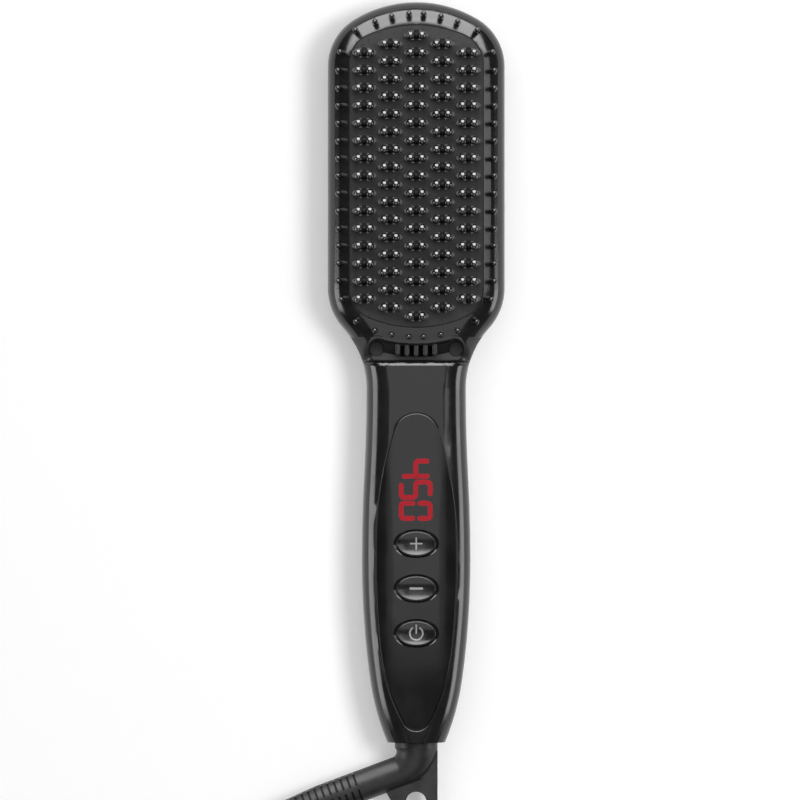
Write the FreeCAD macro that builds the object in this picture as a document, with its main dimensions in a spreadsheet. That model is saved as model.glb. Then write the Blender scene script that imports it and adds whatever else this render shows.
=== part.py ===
import FreeCAD, Part
import math
import os
import re
from FreeCAD import Placement, Rotation, Vector

# A heated hair straightening brush, lying on its back. X runs across it, Y from the cord to the
# head, Z from the back to the teeth. The origin is under the middle of the housing, at its back.
# Sizes are in millimetres, and angles in degrees.

SIZES = {
    # housing outline, seen from the front
    "head_top": 136.8,
    "head_half_width": 32.7,
    "crown_radius": 44.4,
    "head_corner_radius": 20.35,
    "shoulder_level": 31.0,
    "neck_radius": 33.0,
    "neck_level": -6.0,
    "neck_half_width": 18.35,
    "belly_level": -69.5,
    "belly_half_width": 20.07,
    "lower_belly_radius": 322.0,
    "tail_level": -113.9,
    "handle_end": -136.8,
    "end_half_width": 10.7,
    # housing, seen from the side
    "parting_height": 13.0,
    "front_height": 25.0,
    "front_round": 8.5,
    "back_round": 8.0,
    "neck_rise": 2.5,
    "neck_rise_top": 34.0,
    "neck_rise_bottom": -46.0,
    "tail_rise": 2.0,
    "tail_rise_start": -95.0,
    "wall": 2.2,
    "deep_inset": 3.0,
    "ledge_depth": 4.0,
    "back_ledge_depth": 5.5,
    # heating plate, framed by the head
    "frame_side": 8.2,
    "frame_top": 8.9,
    "plate_length": 111.2,
    "plate_corner_radius": 11.0,
    "plate_gap": 0.4,
    "plate_proud": 0.2,
    "flange_overhang": 2.2,
    "flange_thickness": 2.2,
    # teeth and their caps
    "column_pitch": 9.6,
    "row_pitch": 6.47,
    "middle_rows": 17,
    "tooth_length": 8.7,
    "tooth_width": 3.7,
    "tooth_point": 0.7,
    "tooth_height": 6.0,
    "cap_height": 2.4,
    "cap_overhang": 0.1,
    "nub_height": 1.7,
    "nub_pitch": 2.13,
    "nub_radius": 1.6,
    "middle_nub_radius": 1.3,
    # guard pins
    "pin_radius": 1.3,
    "pin_tip_radius": 1.0,
    "pin_top": 32.6,
    "pin_root": 3.0,
    "pin_inset": 3.9,
    "pin_crown_inset": 4.6,
    "pin_shoulder_inset": 5.0,
    "second_shoulder_inset": 4.5,
    "lower_pin_drop": 3.75,
    "pin_pitch": 6.47,
    "first_pin": 2.7,
    "crown_pins": 3,
    "side_pins": 13,
    "corner_pin_angle": 52.0,
    "second_corner_pin_angle": 17.2,
    "shoulder_pin_angle": 47.3,
    "second_shoulder_pin_angle": 14.3,
    # neck hollow, vent comb and screw wells
    "hollow_top_radius": 50.9,
    "hollow_top": 10.6,
    "hollow_bottom": 4.0,
    "hollow_half_width": 17.0,
    "hollow_floor": 19.0,
    "hollow_floor_top": 5.8,
    "hollow_draft": 0.6,
    "hollow_corner": 3.0,
    "hollow_floor_corner": 1.2,
    "hollow_round": 2.0,
    "vent_pitch": 3.4,
    "vent_width": 1.6,
    "vent_count": 4,
    "rib_bottom": 5.7,
    "rib_top": 24.0,
    "rib_round": 0.5,
    "well_spacing": 29.4,
    "well_level": 8.6,
    "well_radius": 2.85,
    "boss_radius": 4.3,
    "screw_head_radius": 2.6,
    "screw_head_height": 2.0,
    "screw_seat": 1.6,
    "screw_radius": 1.25,
    "screw_bite": 3.5,
    "screw_clearance": 0.25,
    "pilot_gap": 0.03,
    "tail_screw_spacing": 17.0,
    "tail_screw_level": -116.5,
    # control panel
    "panel_top": -15.2,
    "panel_bottom": -132.3,
    "panel_belly": -67.0,
    "panel_half_width": 14.9,
    "panel_upper_radius": 158.0,
    "panel_lower_radius": 380.0,
    "panel_lower_level": -100.0,
    "panel_tip_radius": 5.0,
    "panel_depth": 1.0,
    "panel_thickness": 1.0,
    "panel_crown": 0.8,
    "panel_gap": 0.15,
    "panel_round": 0.3,
    "recess_round": 0.35,
    "panel_floor_thickness": 1.5,
    # buttons
    "plus_level": -63.3,
    "button_pitch": 16.55,
    "button_long": 7.1,
    "button_short": 4.45,
    "dish_long": 9.2,
    "dish_short": 5.3,
    "dish_depth": 0.6,
    "button_gap": 0.3,
    "button_proud": 0.3,
    "button_round": 0.25,
    "button_hollow_long": 20.0,
    "button_hollow_short": 12.0,
    "button_hollow_tall": 10.0,
    "button_hollow_depth": 0.6,
    "button_flange": 1.3,
    "button_flange_thickness": 1.2,
    "button_travel": 0.6,
    "button_stem_radius": 1.6,
    # electronics
    "board_half_width": 11.5,
    "board_top": -24.0,
    "board_bottom": -111.0,
    "board_thickness": 1.6,
    "board_height": 12.0,
    "switch_width": 6.0,
    "switch_height": 3.4,
    "plunger_radius": 1.7,
    "plunger_length": 1.4,
    "plunger_stand": 0.6,
    "display_level": -43.1,
    "display_width": 14.0,
    "display_length": 26.0,
    "display_gap": 0.3,
    "board_post_radius": 2.4,
    "board_post_inset": 3.0,
    "board_gap": 1.0,
    "board_screw_head_radius": 1.8,
    "board_screw_head_height": 1.0,
    "power_board_half_width": 11.0,
    "power_board_top": -30.0,
    "power_board_bottom": -104.0,
    "power_board_height": 5.0,
    # heater stack under the plate
    "heater_half_width": 10.0,
    "heater_length": 38.0,
    "heater_thickness": 2.8,
    "heater_spacing": 51.0,
    "clamp_half_width": 11.5,
    "clamp_thickness": 1.2,
    "sheet_thickness": 0.4,
    "clamp_screw_spacing": 50.0,
    "clamp_boss_radius": 3.0,
    "shield_thickness": 0.8,
    "thermistor_length": 5.0,
    "thermistor_width": 4.0,
    "thermistor_bead_radius": 1.2,
    "thermistor_offset": 7.0,
    "fuse_radius": 1.9,
    "fuse_length": 10.0,
    "fuse_offset": 6.0,
    "lead_spacing": 16.8,
    "lead_radius": 0.9,
    "lead_tail": 8.0,
    "lead_neck_height": 9.75,
    "lead_drop": 0.63,
    "mains_lead_spacing": 2.8,
    "mains_lead_straight": 4.8,
    "mains_lead_foot": 5.6,
    # ion outlet
    "ion_half_width": 7.0,
    "ion_top": -1.0,
    "ion_bottom": -21.0,
    "ion_height": 8.5,
    "emitter_radius": 0.6,
    # cord swivel
    "swivel_height": 13.0,
    "collar_radius": 7.9,
    "swivel_gap": 0.3,
    "journal_radius": 6.0,
    "journal_end": -119.5,
    "journal_bore": 3.0,
    "running_gap": 0.05,
    "sleeve_radius": 8.6,
    "sleeve_length": 10.4,
    "clip_radius": 7.6,
    "clip_thickness": 1.0,
    "groove_depth": 0.8,
    # cord boot
    "elbow_level": -145.4,
    "elbow_bend_radius": 9.3,
    "elbow_ball_level": -143.3,
    "arm_angle": 200.5,
    "arm_radius": 5.8,
    "arm_length": 62.0,
    "arm_taper_start": 38.0,
    "arm_end_radius": 4.1,
    "slot_start": 22.7,
    "slot_pitch": 2.55,
    "slot_width": 0.85,
    "slot_count": 14,
    "slot_core": 3.4,
    "slot_spine": 0.8,
    "slot_rim": 0.35,
    "tab_thickness": 4.0,
    "tab_top": -140.0,
    "tab_level": -159.0,
    "tab_radius": 7.9,
    "hang_hole_radius": 3.8,
    # cord and plug
    "cord_radius": 3.0,
    "cord_exit_run": 15.0,
    "coil_middle_radius": 33.0,
    "coil_half_width": 9.0,
    "coil_height": 18.0,
    "plug_length": 34.0,
    "plug_half_width": 12.0,
    "plug_height": 17.0,
    "plug_neck_radius": 4.0,
    "plug_neck_length": 10.0,
    "plug_neck_flare": 1.25,
    "plug_round": 5.0,
    "blade_width": 6.35,
    "blade_thickness": 1.5,
    "blade_length": 15.9,
    "blade_spacing": 12.7,
}

UP = Vector(0, 0, 1)
SIDES = (-1, 1)
THREE = (-1, 0, 1)
BUTTONS = ("plus", "minus", "power")
ALONG_Y = Rotation(Vector(1, 0, 0), -90)
UPSIDE_DOWN = Rotation(Vector(1, 0, 0), 180)
TINY = 0.001
# how far a cutting tool reaches past the face that it opens
PAST = 1.0
PLATE_MIDDLE = "(head_top - frame_top - plate_length / 2)"
ALIAS = re.compile(r"\b(" + "|".join(SIZES) + r")\b")

doc = FreeCAD.newDocument("StraighteningBrush")
sheet = doc.addObject("Spreadsheet::Sheet", "Sizes")
for row, (alias, number) in enumerate(SIZES.items(), start=1):
    sheet.set(f"A{row}", alias)
    sheet.set(f"B{row}", str(number))
    sheet.setAlias(f"B{row}", alias)
doc.recompute()


# ---------------------------------------------------------------- helpers


def size(alias):
    """A driving dimension, read back from the sheet."""
    return float(sheet.get(alias))


def bind(item, prop, formula):
    """Binds a property to a formula of the sheet's aliases."""
    item.setExpression(prop, ALIAS.sub(r"Sizes.\1", str(formula)))


def solid(kind, name, **formulas):
    """A Part primitive with its sizes bound to the sheet."""
    item = doc.addObject(kind, name)
    for prop, formula in formulas.items():
        bind(item, prop, formula)
    return item


def place(item, x="0", y="0", z="0", rotation=None):
    """Puts an object at a place that follows the sheet."""
    if rotation is not None:
        item.Placement = Placement(Vector(), rotation)
    for axis, formula in zip("xyz", (x, y, z)):
        bind(item, f"Placement.Base.{axis}", formula)
    return item


def block(name, width, length, height, x="0", y="0", z="0"):
    """A box that is centred on x and y and stands on z."""
    item = solid("Part::Box", name, Length=width, Width=length, Height=height)
    return place(item, f"{x} - ({width}) / 2", f"{y} - ({length}) / 2", z)


def rod(name, radius, height, x="0", y="0", z="0", rotation=None):
    """A cylinder from its foot, along Z unless it is turned."""
    item = solid("Part::Cylinder", name, Radius=radius, Height=height)
    return place(item, x, y, z, rotation)


def fuse(name, items):
    item = doc.addObject("Part::MultiFuse", name)
    item.Shapes = items
    return item


def cut(name, base, tool):
    item = doc.addObject("Part::Cut", name)
    item.Base = base
    item.Tool = tool
    return item


def gather(name, items):
    """A group of separate solids in one node."""
    item = doc.addObject("Part::Compound", name)
    item.Links = items
    return item


def shape_feature(name, shape):
    item = doc.addObject("Part::Feature", name)
    item.Shape = shape
    return item


def new_body(name):
    return doc.addObject("PartDesign::Body", name)


def add_sketch(body, name, geometry, level="0", role="XY_Plane"):
    """A sketch on one of the body's own origin planes, moved along the plane's normal."""
    plane = next(f for f in body.Origin.OriginFeatures if f.Role == role)
    sketch = body.newObject("Sketcher::SketchObject", name)
    sketch.AttachmentSupport = [(plane, "")]
    sketch.MapMode = "FlatFace"
    bind(sketch, "AttachmentOffset.Base.z", level)
    sketch.addGeometry(geometry, False)
    return sketch


def extrude(body, kind, name, geometry, level, length, upward=True, role="XY_Plane"):
    """A Pad or Pocket of its own sketch, up or down from a level."""
    sketch = add_sketch(body, name + "_sketch", geometry, level, role)
    feature = body.newObject("PartDesign::" + kind, name)
    feature.Profile = sketch
    bind(feature, "Length", length)
    feature.Reversed = upward != (kind == "Pad")
    body.Tip = feature
    doc.recompute()
    return feature


def loft_between(body, kind, name, lower, upper):
    """A straight-sided loft between two outlines, each given with its level."""
    sketches = [
        add_sketch(body, f"{name}_{end}_sketch", geometry, level)
        for end, (geometry, level) in (("lower", lower), ("upper", upper))
    ]
    feature = body.newObject("PartDesign::" + kind, name)
    feature.Profile = sketches[0]
    feature.Sections = sketches[1:]
    feature.Ruled = True
    body.Tip = feature
    doc.recompute()
    return feature


def pad(body, name, geometry, level, length, upward=True):
    return extrude(body, "Pad", name, geometry, level, length, upward)


def pocket(body, name, geometry, level, length, upward=True):
    return extrude(body, "Pocket", name, geometry, level, length, upward)


def cut_across(body, name, geometry, length, role):
    """A pocket both ways from a sketch on one of the upright origin planes."""
    sketch = add_sketch(body, name + "_sketch", geometry, "0", role)
    feature = body.newObject("PartDesign::Pocket", name)
    feature.Profile = sketch
    feature.SideType = "Symmetric"
    bind(feature, "Length", length)
    body.Tip = feature
    doc.recompute()
    return feature


def fillet(body, name, radius, wanted):
    """Rounds the edges of the body's tip that the test picks."""
    base = body.Tip
    names = [f"Edge{i}" for i, edge in enumerate(base.Shape.Edges, start=1) if wanted(edge)]
    feature = body.newObject("PartDesign::Fillet", name)
    feature.Base = (base, names)
    bind(feature, "Radius", radius)
    body.Tip = feature
    doc.recompute()
    return feature


def arc(centre, radius, start, end):
    """A circle's arc, counter-clockwise between two angles in radians."""
    return Part.ArcOfCircle(Part.Circle(centre, UP, radius), start, end)


def both_sides(right_arcs):
    """The arcs of the right half and their mirror images."""
    left_arcs = [
        arc(Vector(-centre.x, centre.y, 0), radius, math.pi - end, math.pi - start)
        for centre, radius, start, end in right_arcs
    ]
    return [arc(*each) for each in right_arcs] + left_arcs


def side_lines(x, low, high):
    return [Part.LineSegment(Vector(side * x, low, 0), Vector(side * x, high, 0)) for side in SIDES]


def rectangle(x_low, y_low, x_high, y_high):
    corners = [
        Vector(x_low, y_low, 0),
        Vector(x_high, y_low, 0),
        Vector(x_high, y_high, 0),
        Vector(x_low, y_high, 0),
    ]
    return closed_lines(corners)


def closed_lines(corners):
    return [Part.LineSegment(a, b) for a, b in zip(corners, corners[1:] + corners[:1])]


def ellipse(y, long_radius, short_radius):
    return [Part.Ellipse(Vector(0, y, 0), long_radius, short_radius)]


def circle(x, y, radius):
    return [Part.Circle(Vector(x, y, 0), UP, radius)]


def angle_to(start, end):
    return math.atan2(end.y - start.y, end.x - start.x)


# ---------------------------------------------------------------- outlines


def tangent_arc(start, normal, end):
    """The centre and radius of the arc that leaves start square to normal and passes end."""
    reach = end - start
    radius = -reach.dot(reach) / (2 * reach.dot(normal))
    return start - normal * radius, radius


def s_curve_radius(sideways, along):
    """The radius of two equal arcs that step sideways and end in line."""
    return (sideways**2 + along**2) / (4 * sideways)


def housing_arcs():
    """The right half of the outline as (centre, radius, start, end, bulge) from crown to end.

    A bulge of 1 is convex, so an inset makes its radius smaller, and -1 is hollow.
    """
    head, corner = size("head_half_width"), size("head_corner_radius")
    crown = size("crown_radius")
    crown_centre = Vector(0, size("head_top") - crown, 0)
    corner_x = head - corner
    corner_y = crown_centre.y + math.sqrt((crown - corner) ** 2 - corner_x**2)
    corner_centre = Vector(corner_x, corner_y, 0)
    crown_turn = angle_to(crown_centre, corner_centre)

    neck, neck_radius = size("neck_half_width"), size("neck_radius")
    neck_centre = Vector(neck + neck_radius, size("neck_level"), 0)
    drop = size("shoulder_level") - size("neck_level")
    step = neck_centre.x - head
    shoulder = (step**2 + drop**2 - neck_radius**2) / (2 * (neck_radius - step))
    shoulder_centre = Vector(head - shoulder, size("shoulder_level"), 0)
    shoulder_turn = angle_to(shoulder_centre, neck_centre)

    belly = size("belly_half_width")
    along = size("neck_level") - size("belly_level")
    waist = s_curve_radius(belly - neck, along)
    waist_centre = Vector(neck + waist, size("neck_level"), 0)
    belly_centre = Vector(belly - waist, size("belly_level"), 0)
    belly_turn = angle_to(belly_centre, waist_centre)

    lower = size("lower_belly_radius")
    lower_centre = Vector(belly - lower, size("belly_level"), 0)
    lower_turn = -math.asin((size("belly_level") - size("tail_level")) / lower)
    normal = Vector(math.cos(lower_turn), math.sin(lower_turn), 0)
    end = Vector(size("end_half_width"), size("handle_end"), 0)
    tail_centre, tail = tangent_arc(lower_centre + normal * lower, normal, end)
    return [
        (crown_centre, crown, crown_turn, math.pi / 2, 1),
        (corner_centre, corner, 0, crown_turn, 1),
        (shoulder_centre, shoulder, shoulder_turn, 0, 1),
        (neck_centre, neck_radius, shoulder_turn + math.pi, math.pi, -1),
        (waist_centre, waist, math.pi, math.pi + belly_turn, -1),
        (belly_centre, waist, 0, belly_turn, 1),
        (lower_centre, lower, lower_turn, 0, 1),
        (tail_centre, tail, angle_to(tail_centre, end), lower_turn, 1),
    ]


def housing_outline(inset):
    """The housing's outline from the front, moved inwards."""
    arcs = [
        [centre, radius - bulge * inset, start, end]
        for centre, radius, start, end, bulge in housing_arcs()
    ]
    tail_centre, tail_radius = arcs[-1][:2]
    end_y = size("handle_end") + inset
    arcs[-1][2] = math.asin((end_y - tail_centre.y) / tail_radius)
    end_x = tail_centre.x + tail_radius * math.cos(arcs[-1][2])
    x = size("head_half_width") - inset
    return (
        both_sides(arcs)
        + side_lines(x, arcs[2][0].y, arcs[1][0].y)
        + [Part.LineSegment(Vector(-end_x, end_y, 0), Vector(end_x, end_y, 0))]
    )


def plate_ends():
    """The levels of the heating plate's lower and upper ends."""
    top = size("head_top") - size("frame_top")
    return top - size("plate_length"), top


def plate_outline(grow):
    """The heating plate's outline: two shallow end arcs, four corners, straight sides."""
    width, corner = size("head_half_width") - size("frame_side"), size("plate_corner_radius")
    crown = size("crown_radius")
    bottom, top = plate_ends()
    middle = (top + bottom) / 2
    crown_y = top - crown
    corner_x = width - corner
    corner_y = crown_y + math.sqrt((crown - corner) ** 2 - corner_x**2)
    turn = math.atan2(corner_y - crown_y, corner_x)
    upper = [
        (Vector(0, crown_y, 0), crown + grow, turn, math.pi / 2),
        (Vector(corner_x, corner_y, 0), corner + grow, 0, turn),
    ]
    lower = [
        (Vector(centre.x, 2 * middle - centre.y, 0), radius, -end, -start)
        for centre, radius, start, end in upper
    ]
    return both_sides(upper + lower) + side_lines(width + grow, 2 * middle - corner_y, corner_y)


def panel_outline(grow):
    """The control panel's outline: a long leaf with a blunt upper and a narrow lower tip."""
    width, belly = size("panel_half_width"), size("panel_belly")
    upper = size("panel_upper_radius")
    upper_centre = Vector(width - upper, belly, 0)
    rise = size("panel_top") - belly
    tip = (upper**2 - upper_centre.x**2 - rise**2) / (2 * (upper - rise))
    tip_centre = Vector(0, size("panel_top") - tip, 0)
    tip_turn = angle_to(upper_centre, tip_centre)

    lower = size("panel_lower_radius")
    lower_centre = Vector(width - lower, belly, 0)
    lower_turn = -math.asin((belly - size("panel_lower_level")) / lower)
    normal = Vector(math.cos(lower_turn), math.sin(lower_turn), 0)
    joint = lower_centre + normal * lower
    foot = size("panel_tip_radius")
    foot_centre = Vector(0, size("panel_bottom") + foot, 0)
    reach = joint - foot_centre
    bend = (reach.dot(reach) - foot**2) / (2 * reach.dot(normal) - 2 * foot)
    bend_centre = joint - normal * bend
    foot_turn = angle_to(bend_centre, foot_centre)
    return both_sides(
        [
            (tip_centre, tip + grow, tip_turn, math.pi / 2),
            (upper_centre, upper + grow, 0, tip_turn),
            (lower_centre, lower + grow, lower_turn, 0),
            (bend_centre, bend + grow, foot_turn, lower_turn),
            (foot_centre, foot + grow, -math.pi / 2, foot_turn),
        ]
    )


def back_line():
    """The gap under the housing's neck: a low arch that leaves the floor smoothly."""
    floor = -PAST
    rise, top, bottom = size("neck_rise"), size("neck_rise_top"), size("neck_rise_bottom")
    middle = (top + bottom) / 2
    radius = s_curve_radius(rise, (top - bottom) / 2)
    arch = Vector(middle, rise - radius, 0)
    turn = math.atan2((top - bottom) / 4, radius - rise / 2)
    arcs = [arc(arch, radius, math.pi / 2 - turn, math.pi / 2 + turn)]
    for foot, side in ((bottom, -1), (top, 1)):
        centre = Vector(foot, radius, 0)
        start = -math.pi / 2 if side < 0 else -math.pi / 2 - turn
        arcs.append(arc(centre, radius, start, start + turn))
    left, right = Vector(bottom, 0, 0), Vector(top, 0, 0)
    low_left, low_right = Vector(bottom, floor, 0), Vector(top, floor, 0)
    arcs.append(Part.LineSegment(left, low_left))
    arcs.append(Part.LineSegment(low_left, low_right))
    arcs.append(Part.LineSegment(low_right, right))
    return arcs


def tail_line():
    """The gap under the handle's end, a single arc that leaves the floor smoothly."""
    floor = -PAST
    start, end = size("tail_rise_start"), size("handle_end") - PAST
    reach = start - size("handle_end")
    radius = (reach**2 + size("tail_rise") ** 2) / (2 * size("tail_rise"))
    turn = math.asin((start - end) / radius)
    lifted = radius - radius * math.cos(turn)
    return [
        arc(Vector(start, radius, 0), radius, -math.pi / 2 - turn, -math.pi / 2),
        Part.LineSegment(Vector(start, 0, 0), Vector(start, floor, 0)),
        Part.LineSegment(Vector(start, floor, 0), Vector(end, floor, 0)),
        Part.LineSegment(Vector(end, floor, 0), Vector(end, lifted, 0)),
    ]


# ---------------------------------------------------------------- housing


def flat_edge_at(height):
    """Picks the edges whose two ends and middle all lie at one height."""

    def wanted(edge):
        middle = edge.valueAt((edge.FirstParameter + edge.LastParameter) / 2)
        heights = [vertex.Z for vertex in edge.Vertexes] + [middle.z]
        return all(abs(each - height) < TINY for each in heights)

    return wanted


def on_line_above(edge, line):
    """Whether an edge lies over a flat line, higher than the control panel's face."""
    middle = edge.valueAt((edge.FirstParameter + edge.LastParameter) / 2)
    beside = line.distToShape(Part.Vertex(middle.x, middle.y, 0))[0]
    return beside < TINY and middle.z > size("front_height") - size("panel_depth") + TINY


def is_end_edge(edge):
    return all(abs(vertex.Y - size("handle_end")) < TINY for vertex in edge.Vertexes)


def well_places():
    return [(side * size("well_spacing") / 2, size("well_level")) for side in SIDES]


def tail_screw_places():
    return [(side * size("tail_screw_spacing") / 2, size("tail_screw_level")) for side in SIDES]


def post_places():
    x = size("board_half_width") - size("board_post_inset")
    levels = (
        size("board_top") - size("board_post_inset"),
        size("board_bottom") + size("board_post_inset"),
    )
    return [(side * x, y) for y in levels for side in SIDES]


def power_post_places():
    x = size("power_board_half_width") - size("board_post_inset")
    levels = (
        size("power_board_top") - size("board_post_inset"),
        size("power_board_bottom") + size("board_post_inset"),
    )
    return [(side * x, y) for y in levels for side in SIDES]


def button_levels():
    return [size("plus_level") - i * size("button_pitch") for i in range(len(BUTTONS))]


def holes(places, radius):
    """A circle of one radius at each place."""
    return [edge for x, y in places for edge in circle(x, y, radius)]


def swivel_bore(name, radius, start, length):
    """A cylinder on the swivel's axis, from a level up the handle."""
    return rod(name, radius, length, "0", start, "swivel_height", ALONG_Y)


def make_back_shell():
    body = new_body("back_body")
    pad(body, "back_blank", housing_outline(0), "0", "parting_height")
    for name, line in (("neck_arch", back_line()), ("tail_lift", tail_line())):
        cut_across(body, name, line, "4 * head_half_width", "YZ_Plane")

    def bottom_edge(edge):
        if is_end_edge(edge):
            return False
        middle = edge.valueAt((edge.FirstParameter + edge.LastParameter) / 2)
        low = size("neck_rise") + size("tail_rise")
        crosses = abs(middle.x) < TINY and abs(middle.y) < size("head_top") - PAST
        return not crosses and max([middle.z] + [vertex.Z for vertex in edge.Vertexes]) < low

    fillet(body, "back_rounding", "back_round", bottom_edge)
    ledge = "parting_height - back_ledge_depth"
    pocket(body, "cavity", housing_outline(size("wall")), "parting_height", "back_ledge_depth", False)
    deep = f"{ledge} - wall"
    pocket(body, "head_well", plate_outline(size("deep_inset")), ledge, deep, False)
    width, gap = size("power_board_half_width") + size("board_gap"), 2 * size("board_gap")
    region = rectangle(-width, size("power_board_bottom") - gap, width, size("power_board_top") + gap)
    pocket(body, "handle_well", region, ledge, deep, False)
    bosses = holes(well_places() + tail_screw_places(), size("boss_radius"))
    pad(body, "screw_bosses", bosses, ledge, "back_ledge_depth")
    pilots = holes(well_places(), size("screw_radius") + size("pilot_gap"))
    pocket(body, "pilot_holes", pilots, "parting_height", "back_ledge_depth", False)
    clear = holes(tail_screw_places(), size("screw_radius") + size("screw_clearance"))
    pocket(body, "tail_holes", clear, "parting_height", "2 * parting_height", False)
    heads = holes(tail_screw_places(), size("well_radius"))
    pocket(body, "tail_wells", heads, f"-{PAST}", f"{PAST} + parting_height - screw_seat")
    feet = holes(power_post_places(), size("board_post_radius"))
    pad(body, "power_feet", feet, "wall", "power_board_height - wall")
    return cut_for_swivel("back_shell", body)


def cut_for_swivel(name, body):
    """Opens a half shell for the swivel's journal, sleeve and clip."""
    throat_length = f"journal_end - handle_end + swivel_gap + {PAST}"
    throat_start = f"handle_end - {PAST}"
    throat = swivel_bore(name + "_throat", "journal_radius + swivel_gap", throat_start, throat_length)
    seat = swivel_bore(name + "_seat", "sleeve_radius + running_gap", "handle_end + wall", "sleeve_length")
    clip_room = swivel_bore(
        name + "_clip_room",
        "clip_radius + 2 * swivel_gap",
        f"handle_end + wall + sleeve_length - {TINY}",
        "clip_thickness + 4 * swivel_gap",
    )
    return cut(name, body, fuse(name + "_bores", [throat, seat, clip_room]))


def make_front_shell():
    body = new_body("front_body")
    wall = size("wall")
    pad(body, "front_blank", housing_outline(0), "parting_height", "front_height - parting_height")
    at_top = flat_edge_at(size("front_height"))
    fillet(body, "front_rounding", "front_round", lambda edge: at_top(edge) and not is_end_edge(edge))
    pocket(body, "cavity", housing_outline(wall), "parting_height", "ledge_depth")
    ledge = "parting_height + ledge_depth"
    flange_room = size("flange_overhang") + size("plate_gap")
    pocket(body, "plate_room", plate_outline(flange_room), ledge, f"front_height - wall - ({ledge})")
    window_depth = f"front_height - ({ledge}) + {PAST}"
    pocket(body, "plate_window", plate_outline(size("plate_gap")), ledge, window_depth)
    width, gap = size("board_half_width") + size("board_gap"), size("board_gap")
    region = rectangle(-width, size("board_bottom") - gap, width, size("board_top") + gap)
    ceiling = "front_height - panel_depth - panel_thickness - panel_floor_thickness"
    pocket(body, "board_room", region, ledge, f"{ceiling} - ({ledge})")
    recess = panel_outline(size("panel_gap"))
    recess_depth = f"panel_depth + panel_thickness + {PAST}"
    pocket(body, "panel_recess", recess, f"front_height + {PAST}", recess_depth, False)
    rim = Part.Compound([edge.toShape() for edge in recess])
    fillet(body, "recess_rounding", "recess_round", lambda edge: on_line_above(edge, rim))
    half_width = size("display_width") / 2 + size("display_gap")
    half_length = size("display_length") / 2 + size("display_gap")
    level = size("display_level")
    window = rectangle(-half_width, level - half_length, half_width, level + half_length)
    pocket(body, "display_window", window, ledge, f"front_height - ({ledge})")
    gap = size("button_gap")
    button_holes = [
        edge
        for y in button_levels()
        for edge in ellipse(y, size("button_long") + 2 * gap, size("button_short") + 2 * gap)
    ]
    pocket(body, "button_holes", button_holes, ledge, f"front_height - ({ledge})")
    hollow_neck(body)
    add_vent_comb(body)
    bosses = holes(well_places(), size("boss_radius"))
    pad(body, "well_bosses", bosses, "parting_height", "ledge_depth")
    wells = holes(well_places(), size("well_radius"))
    pocket(body, "wells", wells, "parting_height + screw_seat", "front_height")
    clear = holes(well_places(), size("screw_radius") + size("screw_clearance"))
    below = f"parting_height - {PAST}"
    pocket(body, "screw_holes", clear, below, f"screw_seat + 2 * {PAST}")
    posts = holes(tail_screw_places(), size("boss_radius"))
    pad(body, "tail_bosses", posts, "parting_height", "ledge_depth")
    pilots = holes(tail_screw_places(), size("screw_radius") + size("pilot_gap"))
    pocket(body, "tail_pilots", pilots, below, f"ledge_depth + 2 * {PAST}")
    board_posts = holes(post_places(), size("board_post_radius"))
    post_foot = "board_height + board_thickness"
    pad(body, "board_posts", board_posts, post_foot, f"{ceiling} - ({post_foot})")
    board_pilots = holes(post_places(), size("screw_radius") / 2 + size("pilot_gap"))
    pocket(body, "board_pilots", board_pilots, post_foot, "ledge_depth")
    shell = cut_for_swivel("front_casing", body)
    return fuse("front_shell", [shell, make_guard_pins()])


def hollow_neck(body):
    """The valley between the head frame and the handle's lip: a long slope and a steep lower wall."""
    draft, floor_top = size("hollow_draft"), size("hollow_floor_top")
    depth = size("front_height") - size("hollow_floor")
    slope = (size("hollow_top") - floor_top) / depth

    def smile(low, half, top, corner):
        """Level bottom, and a top that sags in its middle as the plate's end does, with round corners."""
        radius = size("hollow_top_radius")
        reach = radius + corner
        turn = math.asin((half - corner) / reach)
        bow = Vector(0, top + radius, 0)
        upper = Vector(half - corner, bow.y - reach * math.cos(turn), 0)
        lower = Vector(half - corner, low + corner, 0)
        right = [(upper, corner, 0, math.pi / 2 + turn), (lower, corner, -math.pi / 2, 0)]
        return (
            both_sides(right)
            + side_lines(half, lower.y, upper.y)
            + [arc(bow, radius, -math.pi / 2 - turn, -math.pi / 2 + turn)]
            + [Part.LineSegment(Vector(-lower.x, low, 0), Vector(lower.x, low, 0))]
        )

    half, bottom, top = size("hollow_half_width"), size("hollow_bottom"), size("hollow_top")
    floor = smile(bottom + draft, half - draft, floor_top, size("hollow_floor_corner"))
    mouth = smile(bottom, half, top + slope * PAST, size("hollow_corner"))
    loft_between(
        body, "SubtractiveLoft", "neck_hollow", (floor, "hollow_floor"), (mouth, f"front_height + {PAST}")
    )

    def mouth_edge(edge):
        """An edge of the hollow's mouth: above its floor and within its outline."""
        ends = edge.Vertexes
        inside = all(abs(v.X) < half + TINY and bottom - TINY < v.Y for v in ends)
        inside = inside and all(v.Y < top + smile_rise(v.X) + PAST for v in ends)
        return inside and all(v.Z > size("hollow_floor") + TINY for v in ends)

    fillet(body, "hollow_rounding", "hollow_round", mouth_edge)


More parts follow.
